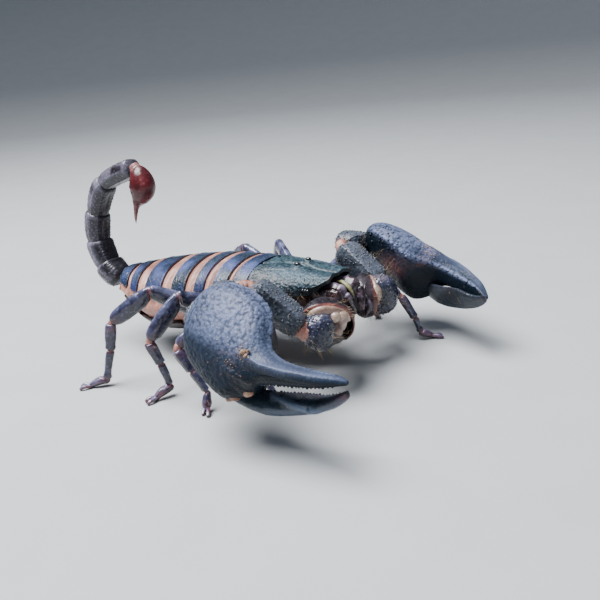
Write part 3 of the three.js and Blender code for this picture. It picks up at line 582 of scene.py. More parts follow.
relief -= 0.5 * FURROW * bell(back, 0.60, 0.03) * bell(off, 0.62, 0.2)
relief += SHIELD_WAVES * lumps_at(places, 420)
flank = np.clip((off - 0.45) * 3, 0, 1) * np.clip(1.3 - 0.6 * bell(back, 0.1, 0.2), 0, 1)
relief += FLANK_GRAIN * cells_at(places, 0.5 * MM) * (0.25 + 0.75 * flank)
rim = bell(facing[:, 2], 0, 0.45) * np.clip((off - 0.8) * 8 + (0.06 - back) * 30, 0, 1)
relief += SHIELD_RIM * rim
for eye in ("middle_eye_right", "middle_eye_left"):
    spot = np.array(centre_of(eye))
    away_from = np.linalg.norm((places - spot)[:, :2], axis=1) / MM
    relief += EYE_MOUND * bell(away_from, 0.62, 0.34)
grain = cells_at(places, 0.46 * MM)
hood = np.clip(1 - back / 0.3, 0, 1) ** 1.5 * (1 - 1.2 * np.clip(off, 0, 1) ** 1.5)
places = places + (HOOD_REACH * hood)[:, None] * np.array((0, -1.0, 0))
thinner = np.clip(0.4 - facing[:, 2], 0, 1) * np.clip(1.6 - back * 5, 0, 1)
places[:, 2] += RIM_LIFT * thinner
move_corners(mesh, places + facing * (relief * outer)[:, None])
# The tan on the rear flanks and the red-brown rim are stains. The pale speckles, grain tops and a
# band along the flanks are painted highlight and reflection, and the underside of the front rim is
# painted shade.
speckle = lumps_at(places, 1500)
tan = bell(off, 0.86, 0.22) * bell(back, 0.78, 0.28) * (0.3 + 1.2 * speckle)
edge = np.clip(1 - back / 0.035, 0, 1) * (off < 0.9) + 0.6 * rim
paint(mesh, "stain_and_glint", np.maximum(tan, 0.5 * edge))
paint(mesh, "wear_and_highlight", 0.5 * np.clip(speckle, 0, 1) + 0.45 * (grain > 0.7) * (0.3 + 0.7 * flank)
      + 0.4 * bell(off, 0.66, 0.2) * bell(back, 0.45, 0.35))
paint(mesh, "shade", 0.8 * (facing[:, 2] < 0.15) * (back < 0.3))
carapace = piece("carapace_shell", mesh, carapace_finish, "back", "carapace")

# ---- Eyes ---------------------------------------------------------------------------------
# Two bead-like middle eyes on the hump of the carapace, and a row of three smaller ones at each
# front corner. Black, wet-looking lenses; the two middle ones are each seated in a low ring of
# shell.

# Each small eye's place along its row, in half rows, and its half length in millimetres.
SIDE_EYES = ((-0.58, 0.34), (0.0, 0.38), (0.55, 0.30))
# Each side, and the way along X in which it lies.
SIDES = {"right": -1, "left": 1}


def dome(centre, radii, rounds=16, steps=8):
    """A closed ball with its poles at top and bottom, as a mesh."""
    ball = bmesh.new()
    bmesh.ops.create_uvsphere(ball, u_segments=rounds, v_segments=steps, radius=1)
    bmesh.ops.scale(ball, vec=radii, verts=ball.verts)
    bmesh.ops.translate(ball, vec=centre, verts=ball.verts)
    return ball


def merge_balls(name, balls):
    """Several loose bodies joined as one mesh."""
    whole = bmesh.new()
    for ball in balls:
        part = mesh_of("part", ball)
        whole.from_mesh(part)
        bpy.data.meshes.remove(part)
    return mesh_of(name, whole)


eye_finish, tree = new_material("eye lens")
place = node(tree, "ShaderNodeTexCoord").outputs["Object"]
depth = use(tree, clouding, Place=place, Size=1800.0, Deep=(0.004, 0.004, 0.006, 1),
            Pale=(0.014, 0.010, 0.012, 1))
gloss = node(tree, "ShaderNodeMapRange", {
    "Value": depth["Share"], "To Min": 0.03, "To Max": 0.10}).outputs[0]
haze = use(tree, creasing, Place=place, Size=2500.0)["Height"]
bump = node(tree, "ShaderNodeBump", {"Height": haze, "Strength": 0.08, "Distance": 0.01 * MM})
close_material(tree, depth["Colour"], gloss, bump.outputs["Normal"], Coat_Weight=0.8,
               Coat_Roughness=0.03)
for side in SIDES:
    low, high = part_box(f"middle_eye_{side}")
    balls = [dome((low + high) / 2, (high - low) / 2, 24, 12)]
    piece(f"middle_eye_lens_{side}", merge_balls("lens", balls), eye_finish, "eye",
          f"middle_eye_{side}")
    low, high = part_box(f"side_eyes_{side}")
    middle, size = (low + high) / 2, (high - low) / 2
    balls = [dome(middle + Vector((0, step * size.y, 0)), (size.x * 0.95, big * MM, size.z * 0.95))
             for step, big in SIDE_EYES]
    piece(f"side_eye_lenses_{side}", merge_balls("lenses", balls), eye_finish, "eye",
          f"side_eyes_{side}")

# ---- Underside of the head ----------------------------------------------------------------
# The leg bases and the mouth's plates, pressed together under the shield: brown-black shell
# with pale seams between the four pairs of leg bases and along the breastbone.

SEAM = 0.35 * MM
SEAMS_BACK = (0.22, 0.45, 0.68)
BASE_LUMPS = 0.12 * MM

low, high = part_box("head_underside")
mesh = smooth(cage_of("head_underside"), 4, sharp=60)
places, facing = corners(mesh), facings(mesh)
back = (places[:, 1] - low.y) / (high.y - low.y)
off = np.abs(places[:, 0] - midline) / ((high.x - low.x) / 2)
seams = bell(off, 0, 0.03) * (facing[:, 2] < 0)
for where in SEAMS_BACK:
    seams = np.maximum(seams, bell(back - 0.10 * off, where, 0.018) * (facing[:, 2] < 0.6))
lumps = lumps_at(places, 500)
move_corners(mesh, places + facing * (BASE_LUMPS * lumps - SEAM * seams)[:, None])
paint(mesh, "stain_and_glint", seams)
piece("leg_bases", mesh, belly_finish, "belly", "head_underside")

# ---- Jaws ---------------------------------------------------------------------------------
# Two short stout chelicerae under the front of the shield, glossy brown-purple with reddish seams.
# Each has a fixed finger cast with it and a hinged one outside.

# In millimetres.
JAW_RIDGE, JAW_GROOVE, JAW_LUMPS = 0.35, 0.20, 0.12

jaw_finish = shell_finish("jaw shell", (0.010, 0.006, 0.008, 1), (0.050, 0.030, 0.040, 1),
                          (0.30, 0.24, 0.34, 1), (0.16, 0.030, 0.026, 1), cloud=650.0,
                          pebble=1500.0, relief=0.05, top_highlight_share=0.28, gloss=(0.16, 0.40),
                          polish=0.4)
for side, sign in SIDES.items():
    for part in ("jaw", "jaw_finger"):
        name = f"{part}_{side}"
        low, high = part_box(name)
        mesh = smooth(cage_of(name), 4, sharp=75)
        places, facing = corners(mesh), facings(mesh)
        off = (places[:, 0] - (low.x + high.x) / 2) / ((high.x - low.x) / 2) * sign
        ahead = 1 - (places[:, 1] - low.y) / (high.y - low.y)
        up = (places[:, 2] - low.z) / (high.z - low.z)
        if part == "jaw":
            ridge = bell(off - 0.2 * ahead, -0.2, 0.35)
            groove = bell(off - 0.15 * ahead, 0.55, 0.12) + 0.6 * bell(ahead, 0.66, 0.05)
        else:
            ridge = bell(off, 0.0, 0.25)
            groove = bell(off, 0.5, 0.15)
        lumps = lumps_at(places, 520)
        move_corners(mesh, places + facing * (
            (JAW_RIDGE * ridge - JAW_GROOVE * groove + JAW_LUMPS * lumps) * MM)[:, None])
        # The reddish seams and lower ends are stains. Upward-facing ridges take a painted
        # highlight, and the grooves take painted shade.
        paint(mesh, "stain_and_glint", 0.7 * bell(groove, 0.55, 0.25) * (part == "jaw") + 0.25 * (up < 0.2))
        paint(mesh, "wear_and_highlight", 0.9 * ridge * np.clip(facing[:, 2] + 0.2, 0, 1) * (lumps > 0))
        paint(mesh, "shade", groove)
        piece(f"{name}_shell", mesh, jaw_finish, "tail", name)

# ---- Fringe of the shield -----------------------------------------------------------------
# A row of brown bristles under the shield's side edges, rooted in its shell. The same hair, in
# other lengths, stands thinly on the claws, legs and tail, and lies back along each of them.

# The fringe is rooted up to so many millimetres above the shield's lowest point at the rear,
# and so many more at the front. It ends at this share of the shield's length.
FRINGE_HEIGHT, FRINGE_CLIMB = 1.1, 1.5
FRINGE_BACK = 0.62
# Bristles stand no closer than this, and bend by this share of their length. The shortest and
# the longest have these shares of the length asked for.
ROOT_SPACING = 0.12 * MM
CURL = 0.22
SHORTEST, LONGEST = 0.45, 1.15
MAP_PATCH = 0.0015


def open_growth(name, sizes):
    """A tree that grows things over a surface, with its named inputs."""
    made = bpy.data.node_groups.new(name, "GeometryNodeTree")
    kinds = {"Surface": "Geometry", "Count per area": "Float", **sizes, "Seed": "Int",
             "Finish": "Material"}
    sockets = {label: made.interface.new_socket(
        label, in_out="INPUT", socket_type=f"NodeSocket{kind}").identifier
        for label, kind in kinds.items()}
    made.interface.new_socket("Grown", in_out="OUTPUT", socket_type="NodeSocketGeometry")
    return made, sockets, node(made, "NodeGroupInput").outputs


def close_growth(tree, geometry, finish):
    """Shades a tree's real geometry smooth, gives it its finish and puts it out."""
    rounded = node(tree, "GeometryNodeSetShadeSmooth", {"Geometry": geometry})
    dressed = node(tree, "GeometryNodeSetMaterial", {
        "Geometry": rounded.outputs["Geometry"], "Material": finish})
    node(tree, "NodeGroupOutput", {"Grown": dressed.outputs["Geometry"]})


def hair_tree():
    """Bent, tapered bristles over a surface, thickest where its hair attribute is 1. Each has
    a small patch of the OFBake map at its root's place."""
    made, sockets, start = open_growth("bristles", {
        "Length": "Float", "Thickness": "Float", "Lie": "Vector", "Stray": "Float"})
    hair = node(made, "GeometryNodeInputNamedAttribute", {"Name": "hair"}, data_type="FLOAT")
    points = node(made, "GeometryNodeDistributePointsOnFaces", {
        "Mesh": start["Surface"], "Density Max": start["Count per area"],
        "Density Factor": hair.outputs["Attribute"], "Distance Min": ROOT_SPACING,
        "Seed": start["Seed"]}, distribute_method="POISSON")
    cone = node(made, "GeometryNodeMeshCone", {
        "Vertices": 4, "Side Segments": 5, "Radius Top": 0.12, "Radius Bottom": 1.0, "Depth": 1.0})
    where = node(made, "GeometryNodeInputPosition")
    parts = node(made, "ShaderNodeSeparateXYZ", {0: where.outputs[0]})
    square = math_node(made, "POWER", parts.outputs["Z"], 2.0)
    marked = node(made, "GeometryNodeStoreNamedAttribute", {
        "Geometry": cone.outputs["Mesh"], "Name": "patch", "Value": where.outputs[0]},
        data_type="FLOAT_VECTOR", domain="POINT")
    thin = math_node(made, "DIVIDE", start["Thickness"], start["Length"])
    narrow = node(made, "ShaderNodeCombineXYZ", {"X": thin, "Y": thin, "Z": 1.0})
    slim = node(made, "GeometryNodeTransform", {
        "Geometry": marked.outputs["Geometry"], "Scale": narrow.outputs[0]})
    curl = math_node(made, "MULTIPLY", square, CURL)
    shift = node(made, "ShaderNodeCombineXYZ", {"X": curl})
    bent = node(made, "GeometryNodeSetPosition", {
        "Geometry": slim.outputs["Geometry"], "Offset": shift.outputs[0]})
    stray = node(made, "FunctionNodeRandomValue", {
        0: (-1.0, -1.0, -1.0), 1: (1.0, 1.0, 1.0), "Seed": start["Seed"]},
        data_type="FLOAT_VECTOR")
    astray = node(made, "ShaderNodeVectorMath", {0: stray.outputs[0], "Scale": start["Stray"]},
                  operation="SCALE")
    leant = node(made, "ShaderNodeVectorMath", {0: points.outputs["Normal"], 1: start["Lie"]})
    way = node(made, "ShaderNodeVectorMath", {0: leant.outputs[0], 1: astray.outputs[0]})
    turn = node(made, "FunctionNodeAlignRotationToVector", {"Vector": way.outputs[0]}, axis="Z")
    tall = node(made, "FunctionNodeRandomValue", {
        2: SHORTEST, 3: LONGEST, "Seed": start["Seed"]})
    size = math_node(made, "MULTIPLY", tall.outputs[1], start["Length"])
    placed = node(made, "GeometryNodeInstanceOnPoints", {
        "Points": points.outputs["Points"], "Instance": bent.outputs["Geometry"],
        "Rotation": turn.outputs[0], "Scale": size})
    real = node(made, "GeometryNodeRealizeInstances", {"Geometry": placed.outputs["Instances"]})
    rooted = node(made, "GeometryNodeInputNamedAttribute", {"Name": "root_place"},
                  data_type="FLOAT_VECTOR")
    patch = node(made, "GeometryNodeInputNamedAttribute", {"Name": "patch"},
                 data_type="FLOAT_VECTOR")
    small = node(made, "ShaderNodeVectorMath", {0: patch.outputs[0], "Scale": MAP_PATCH},
                 operation="SCALE")
    flat = node(made, "ShaderNodeVectorMath", {0: rooted.outputs[0], 1: small.outputs[0]})
    mapped = node(made, "GeometryNodeStoreNamedAttribute", {
        "Geometry": real.outputs["Geometry"], "Name": "OFBake", "Value": flat.outputs[0]},
        data_type="FLOAT2", domain="CORNER")
    close_growth(made, mapped.outputs["Geometry"], start["Finish"])
    return made, sockets


bristles = hair_tree()
hair_finish, tree = new_material("bristles")
place = node(tree, "ShaderNodeTexCoord").outputs["Object"]
tint = use(tree, clouding, Place=place, Size=700.0, Deep=(0.14, 0.075, 0.035, 1),
           Pale=(0.62, 0.46, 0.24, 1))
flutes = use(tree, creasing, Place=place, Size=3000.0)["Height"]
bump = node(tree, "ShaderNodeBump", {"Height": flutes, "Strength": 0.3, "Distance": 0.01 * MM})
rough = node(tree, "ShaderNodeMapRange", {
    "Value": tint["Share"], "To Min": 0.3, "To Max": 0.5}).outputs[0]
close_material(tree, tint["Colour"], rough, bump.outputs["Normal"])


def grow(carrier, growth, name, slot, finish, **values):
    """Runs a tree over a piece's surface and keeps what it makes as a plain piece."""
    tree, sockets = growth
    holder = bpy.data.objects.new("grower", carrier.data.copy())
    bpy.context.scene.collection.objects.link(holder)
    modifier = holder.modifiers.new("growth", "NODES")
    modifier.node_group = tree
    for label, value in values.items():
        modifier[sockets[label.replace("_", " ")]] = value
    modifier[sockets["Finish"]] = finish
    bpy.context.view_layer.update()
    graph = bpy.context.evaluated_depsgraph_get()
    made = bpy.data.meshes.new_from_object(holder.evaluated_get(graph))
    bpy.data.objects.remove(holder)
    if len(made.vertices) > 0:
        piece(name, made, finish, slot)


def long_way(places):
    """The way that a piece is longest, as a unit vector."""
    spread = places - places.mean(0)
    return np.linalg.svd(spread[::7], full_matrices=False)[2][0]


def unit(vector):
    """The same way, with a length of 1."""
    return vector / np.linalg.norm(vector)


def angle_round(places, axis, zero):
    """The angle of each place round a piece's middle line, from a chosen side."""
    arm = places - places.mean(0)
    arm = arm - np.outer(arm @ axis, axis)
    first = unit(zero - axis * (zero @ axis))
    return np.arctan2(arm @ np.cross(axis, first), arm @ first)


def hairy(mesh, values):
    """Where a piece is hairy, and the unrolled place of each of its corners."""
    if "root_place" in mesh.attributes:
        mesh.attributes.remove(mesh.attributes["root_place"])
    paint(mesh, "hair", values)
    places = corners(mesh)
    axis = long_way(places)
    side = np.array((1.0, 0.2, 0.1))
    unrolled = np.zeros((len(places), 3), np.float32)
    unrolled[:, 0] = angle_round(places, axis, side) / (2 * math.pi) + 0.5
    unrolled[:, 1] = share_along(places, axis)
    layer = mesh.attributes.new("root_place", "FLOAT_VECTOR", "POINT")
    layer.data.foreach_set("vector", 0.99 * unrolled.ravel())


places = corners(carapace.data)
low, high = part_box("carapace")
back = (places[:, 1] - low.y) / (high.y - low.y)
fringe = places[:, 2] < low.z + FRINGE_HEIGHT * MM + FRINGE_CLIMB * MM * (1 - back)
fringe = fringe * (back < FRINGE_BACK)
hairy(carapace.data, 0.8 * fringe)
grow(carapace, bristles, "carapace_bristles", "back", hair_finish, Count_per_area=1.6e6,
     Length=1.5 * MM, Thickness=0.026 * MM, Lie=(0.0, -0.7, -0.6), Stray=0.5, Seed=5)

# ---- Claw arms ----------------------------------------------------------------------------
# Coxa, trochanter, femur and patella of each arm: thick shell, slate blue to black, with
# coarse granules in rows along the keels and scattered between them. Each turns in the next
# on two knobs, with soft skin bridging the rest of the gap.

ARM_PARTS = ("palp_coxa", "palp_trochanter", "palp_femur", "palp_patella")
# How each trochanter's ball is drawn: how much bigger, and moved by how many millimetres.
BALL_FIT = {"right": (1.1, (-0.3, 0.4, 0)), "left": (1.2, (-0.9, 0.5, 0.1))}
# The left coxa is drawn slimmer, and moved by so many millimetres.
LEFT_COXA_GIRTH = 0.84
LEFT_COXA_SHIFT = (-0.9, 0.9, 0)
# The angles round each limb, from its top, at which its keels run.
ARM_KEELS = (0.75, 2.35)
# The smallest and the biggest granules, as shares of the radius asked for.
SMALLEST, BIGGEST = 0.45, 1.2
ARM_PEBBLE = 0.5 * MM
ARM_PEBBLE_RISE = 0.10 * MM
ARM_WAVES = 0.12 * MM
ARM_KEEL_RISE = 0.22 * MM
ARM_TROUGH = 0.18 * MM

arm_finish = shell_finish("arm shell", (0.010, 0.014, 0.020, 1), (0.038, 0.048, 0.062, 1),
                          (0.20, 0.22, 0.29, 1), (0.18, 0.11, 0.08, 1), pebble=1700.0,
                          relief=0.10, top_highlight_share=0.40, gloss=(0.28, 0.5), polish=0.15)
coxa_finish = shell_finish("coxa shell", (0.008, 0.006, 0.009, 1), (0.034, 0.024, 0.030, 1),
                           (0.14, 0.11, 0.14, 1), (0.26, 0.075, 0.055, 1), pebble=1500.0,
                           relief=0.06, top_highlight_share=0.25, gloss=(0.22, 0.45))
ball_finish = shell_finish("ball shell", (0.004, 0.006, 0.014, 1), (0.014, 0.018, 0.038, 1),
                           (0.14, 0.14, 0.24, 1), (0.18, 0.11, 0.08, 1), pebble=1500.0,
                           relief=0.08, top_highlight_share=0.2, gloss=(0.16, 0.36), polish=0.5)
granule_finish = shell_finish("granules", (0.003, 0.004, 0.007, 1), (0.012, 0.014, 0.020, 1),
                              (0.24, 0.26, 0.32, 1), (0.10, 0.07, 0.06, 1), pebble=2600.0,
                              relief=0.03, top_highlight_share=0.3, gloss=(0.14, 0.3), polish=0.4)
joint_finish = membrane_finish("joint membrane", (0.34, 0.12, 0.085, 1), (0.60, 0.34, 0.26, 1),
                               (0.10, 0.04, 0.035, 1), run=(1.0, 1.0, 1.0))


def granule_tree():
    """Rounded granules over a surface, thickest where its grains attribute is 1."""
    made, sockets, start = open_growth("granules", {"Spacing": "Float", "Granule radius": "Float"})
    grains = node(made, "GeometryNodeInputNamedAttribute", {"Name": "grains"}, data_type="FLOAT")
    points = node(made, "GeometryNodeDistributePointsOnFaces", {
        "Mesh": start["Surface"], "Distance Min": start["Spacing"],
        "Density Max": start["Count per area"], "Density Factor": grains.outputs["Attribute"],
        "Seed": start["Seed"]}, distribute_method="POISSON")
    ball = node(made, "GeometryNodeMeshIcoSphere", {"Radius": 1.0, "Subdivisions": 1})
    size = node(made, "FunctionNodeRandomValue", {
        2: SMALLEST, 3: BIGGEST, "Seed": start["Seed"]})
    radius = math_node(made, "MULTIPLY", size.outputs[1], start["Granule radius"])
    placed = node(made, "GeometryNodeInstanceOnPoints", {
        "Points": points.outputs["Points"], "Instance": ball.outputs["Mesh"],
        "Rotation": points.outputs["Rotation"], "Scale": radius})
    real = node(made, "GeometryNodeRealizeInstances", {"Geometry": placed.outputs["Instances"]})
    close_growth(made, real.outputs["Geometry"], start["Finish"])
    return made, sockets


granules = granule_tree()


def rings_of(name, toward):
    """A limb's rings of corners, from its end nearest a place: first its tip, then each ring."""
    cage = bmesh.new()
    cage.from_mesh(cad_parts[name].data)
    bmesh.ops.remove_doubles(cage, verts=cage.verts, dist=MERGE)
    for first in sorted(cage.verts, key=lambda v: (v.co - toward).length):
        seen, layer, layers = {first}, [first], []
        while layer:
            layers.append(np.array([v.co for v in layer], float))
            beyond = {e.other_vert(v) for v in layer for e in v.link_edges} - seen
            seen |= beyond
            layer = list(beyond)
        if len(layers) > 3 and len(layers[1]) == len(layers[2]) == len(layers[3]) >= 5:
            break
    cage.free()
    return layers


def meeting(first, second):
    """The middle of the narrowest gap between two solids."""
    one, other = corners(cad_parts[first].data), corners(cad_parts[second].data)
    apart = np.linalg.norm(one[:, None] - other[None], axis=2)
    i, j = np.unravel_index(np.argmin(apart), apart.shape)
    return Vector((one[i] + other[j]) / 2)


def end_of(name, toward):
    """A limb's end ring nearest a place: its middle, the way out of the limb, its corners."""
    rings = rings_of(name, toward)
    middle = rings[1].mean(0)
    way = middle - rings[2].mean(0)
    return middle, unit(way), rings[1]


def tube(places, across, radii, sides=24):
    """A closed round body along a path. Each ring has its own half breadth and half depth."""
    ways = np.gradient(places, axis=0)
    ways = ways / np.linalg.norm(ways, axis=1)[:, None]
    whole = bmesh.new()
    rounds = []
    for middle, way, (wide, deep) in zip(places, ways, radii):
        side = unit(across - way * (across @ way))
        other = np.cross(way, side)
        turns = [2 * math.pi * i / sides for i in range(sides)]
        rounds.append([whole.verts.new(
            middle + side * wide * math.cos(t) + other * deep * math.sin(t)) for t in turns])
    for one, two in zip(rounds, rounds[1:]):
        for i in range(sides):
            j = (i + 1) % sides
            whole.faces.new((one[i], one[j], two[j], two[i]))
    whole.faces.new(rounds[0][::-1])
    whole.faces.new(rounds[-1])
    bmesh.ops.recalc_face_normals(whole, faces=whole.faces)
    return whole


def bridge(first_end, second_end, girth=0.88, sink=0.8, folds=3, depth=0.05, steps=20):
    """A folded tube from inside one limb's end to inside the next one's."""
    (a, way_a, ring_a), (b, way_b, ring_b) = first_end, second_end
    span = np.linalg.norm(b - a)
    hinge = np.cross(way_a, -way_b)
    if np.linalg.norm(hinge) < 0.15:
        hinge = np.cross(way_a, np.cross(ring_a[0] - a, way_a))
    hinge = unit(hinge)
    start, stop = a - way_a * sink * MM, b - way_b * sink * MM
    pull = 0.45 * (span + 2 * sink * MM)
    path, radii = [], []
    wide_a, wide_b = np.abs((ring_a - a) @ hinge).max(), np.abs((ring_b - b) @ hinge).max()
    deep_a = np.abs((ring_a - a) @ np.cross(hinge, way_a)).max()
    deep_b = np.abs((ring_b - b) @ np.cross(hinge, way_b)).max()
    for t in np.linspace(0, 1, steps):
        u = 1 - t
        path.append(start * u ** 3 + 3 * (start + way_a * pull) * u * u * t
                    + 3 * (stop + way_b * pull) * u * t * t + stop * t ** 3)
        blend = t * t * (3 - 2 * t)
        fold = girth * (1 + depth * math.cos(2 * math.pi * folds * t))
        radii.append(((wide_a * (1 - blend) + wide_b * blend) * fold,
                      (deep_a * (1 - blend) + deep_b * blend) * fold))
    return tube(np.array(path), hinge, radii)


def join_limbs(name, first, second, finish, **shape):
    """The soft skin of a joint, between the ends where two solids meet."""
    spot = meeting(first, second)
    whole = bridge(end_of(first, spot), end_of(second, spot), **shape)
    piece(name, mesh_of(name, whole), finish, "membrane")


for side in SIDES:
    for part in ARM_PARTS:
        name = f"{part}_{side}"
        mesh = smooth(cage_of(name), 3 if part == "palp_coxa" else 4, sharp=70, passes=2)
        places, facing = corners(mesh), facings(mesh)
        axis = long_way(places)
        round_angle = angle_round(places, axis, np.array((0, 0, 1.0)))
        along = share_along(places, axis)
        if part == "palp_trochanter":
            ball = np.array(centre_of(name))
            grown, shift = BALL_FIT[side]
            places = ball + (places - ball) * grown + np.array(shift) * MM
        if part == "palp_coxa" and side == "left":
            spine = places @ axis - places.mean(0) @ axis
            spine = places.mean(0) + np.outer(spine, axis)
            places = spine + (places - spine) * LEFT_COXA_GIRTH + np.array(LEFT_COXA_SHIFT) * MM
        bumps = cells_at(places, ARM_PEBBLE)
        keels = sum(bell(np.abs(round_angle), where, 0.10) for where in ARM_KEELS)
        keels *= bell(along, 0.5, 0.42)
        relief = ARM_PEBBLE_RISE * bumps + ARM_WAVES * lumps_at(places, 450)
        if part in ("palp_femur", "palp_patella"):
            relief = relief + ARM_KEEL_RISE * keels - ARM_TROUGH * bell(
                np.abs(round_angle), 0, 0.4)
        move_corners(mesh, places + facing * relief[:, None])
        paint(mesh, "grains", (0.5 + 0.9 * keels) * (part != "palp_coxa"))
        # Painted highlight on the keels, pebble tops and upward faces, partly wear. The reddish
        # joint ends are stains, and the downward faces take painted shade.
        above = 0.35 * np.clip(facing[:, 2], 0, 1) * (part != "palp_coxa")
        paint(mesh, "wear_and_highlight", 0.3 * keels + 0.35 * np.clip((bumps - 0.5) * 2, 0, 1) + above)
        paint(mesh, "stain_and_glint", 0.6 * bell(along, 0, 0.05) + 0.6 * bell(along, 1, 0.05))
        paint(mesh, "shade", 0.5 * np.clip(-facing[:, 2], 0, 1))
        below = np.clip(0.2 - facing[:, 2], 0, 1)
        hairy(mesh, below * (part in ("palp_trochanter", "palp_coxa")) + 0.05)
        finish = {"palp_coxa": coxa_finish, "palp_trochanter": ball_finish}.get(part, arm_finish)
        slot = "belly" if part == "palp_coxa" else "claw"
        made = piece(f"{name}_shell", mesh, finish, slot, name)
        if part != "palp_coxa":
            grow(made, granules, f"{name}_granules", slot, granule_finish,
                 Count_per_area=1.0e7, Spacing=0.52 * MM, Granule_radius=0.21 * MM,
                 Seed=3 + len(part))
        grow(made, bristles, f"{name}_bristles", slot, hair_finish, Count_per_area=1.1e6,
             Length=2.3 * MM, Thickness=0.026 * MM, Lie=(0.0, -0.6, -0.4), Stray=0.7,
             Seed=7 + len(part))
        if part in ("palp_femur", "palp_patella"):
            hairy(made.data, np.clip(facing[:, 2], 0, 1))
            grow(made, bristles, f"{name}_long_bristles", slot, hair_finish,
                 Count_per_area=1.2e5, Length=4.4 * MM, Thickness=0.028 * MM,
                 Lie=(0.0, -0.2, 0.8), Stray=0.35, Seed=17 + len(part))
    join_limbs(f"elbow_skin_{side}", f"palp_femur_{side}", f"palp_patella_{side}",
               joint_finish, girth=0.84, sink=1.0, folds=4, depth=0.06)
    join_limbs(f"shoulder_skin_{side}", f"palp_trochanter_{side}", f"palp_femur_{side}",
               joint_finish, girth=1.02, sink=0.8, folds=3, depth=0.05)

# ---- Coxa rims ----------------------------------------------------------------------------
# The front edge of each coxa is drawn out as a hood over the root of the trochanter, with a
# thin reddish lip. Under it the cream membrane is stretched in a roll and glossy lobes.

RIM_CENTRE = Vector((7.7, -23.15, 13.2)) * MM
CUP_BACK = 3.2 * MM
CUP_RADII = (3.3, 3.6)
HOOD = 0.35
HOOD_ARCH = 1.1 * MM
LIP_BEAD = 0.12
# The lip's path: across along the rim's own breadth, up, out toward the side, and the angle
# round the cup that each point is drawn from.
LIP_PATH = ((2.4, -3.6, -0.6, -62), (3.4, -2.5, -0.2, -40), (3.8, -1.2, 0.0, -18),
            (3.7, 0.2, 0.3, 4), (2.7, 1.8, 0.9, 34), (0.9, 3.1, 1.7, 64), (-1.3, 3.8, 2.3, 90),
            (-3.1, 3.8, 2.5, 116), (-4.6, 3.1, 2.2, 146), (-5.5, 1.9, 1.8, 170))
# The cream roll follows the lip between two of those points, set in by a share, this thick.
ROLL = (3, 9, 0.80, 0.62)
LOBE_WAVES = 0.30 * MM
# Each lobe's place across, up and out, its half breadth and its half height.
LOBES = ((0.1, 1.9, 2.2, 1.15, 1.1), (1.5, 0.7, 1.5, 1.15, 1.9), (0.6, -0.8, 1.7, 1.1, 1.5))
# How much smaller a side's hood is drawn, how much less far out, and how far ahead.
HOOD_FIT = {"right": (1.0, 1.0, 0.0), "left": (0.84, 0.35, -1.2)}

cream_finish = membrane_finish("stretched membrane", (0.20, 0.10, 0.075, 1), (0.58, 0.42, 0.31, 1),
                               (0.10, 0.045, 0.045, 1), run=(1.0, 1.0, 1.0), wet=1.0)


def spline(points, steps):
    """A smooth run of places through a few points, with any values that ride along."""
    points = np.array(points, float)
    spots = np.linspace(0, len(points) - 1, steps)
    slopes = np.gradient(points, axis=0)
    index = np.minimum(spots.astype(int), len(points) - 2)
    t = (spots - index)[:, None]
    a, b = points[index], points[index + 1]
    u, v = slopes[index], slopes[index + 1]
    return (a * (2 * t ** 3 - 3 * t ** 2 + 1) + u * (t ** 3 - 2 * t ** 2 + t)
            + b * (3 * t ** 2 - 2 * t ** 3) + v * (t ** 3 - t ** 2))


def closed_sheet(name, outer, inner):
    """A sheet with thickness, from its outer and its inner grid of places."""
    whole = bmesh.new()
    rows, columns = outer.shape[:2]
    layers = [[[whole.verts.new(p) for p in row] for row in grid] for grid in (outer, inner)]
    for i in range(rows - 1):
        for j in range(columns - 1):
            for grid in layers:
                whole.faces.new((grid[i][j], grid[i][j + 1], grid[i + 1][j + 1], grid[i + 1][j]))
    loop = [(i, 0) for i in range(rows)] + [(rows - 1, j) for j in range(1, columns)]
    loop += [(i, columns - 1) for i in range(rows - 2, -1, -1)]
    loop += [(0, j) for j in range(columns - 2, 0, -1)]
    for (i, j), (k, m) in zip(loop, loop[1:] + loop[:1]):
        whole.faces.new((layers[0][i][j], layers[0][k][m], layers[1][k][m], layers[1][i][j]))
    bmesh.ops.recalc_face_normals(whole, faces=whole.faces)
    return mesh_of(name, whole)


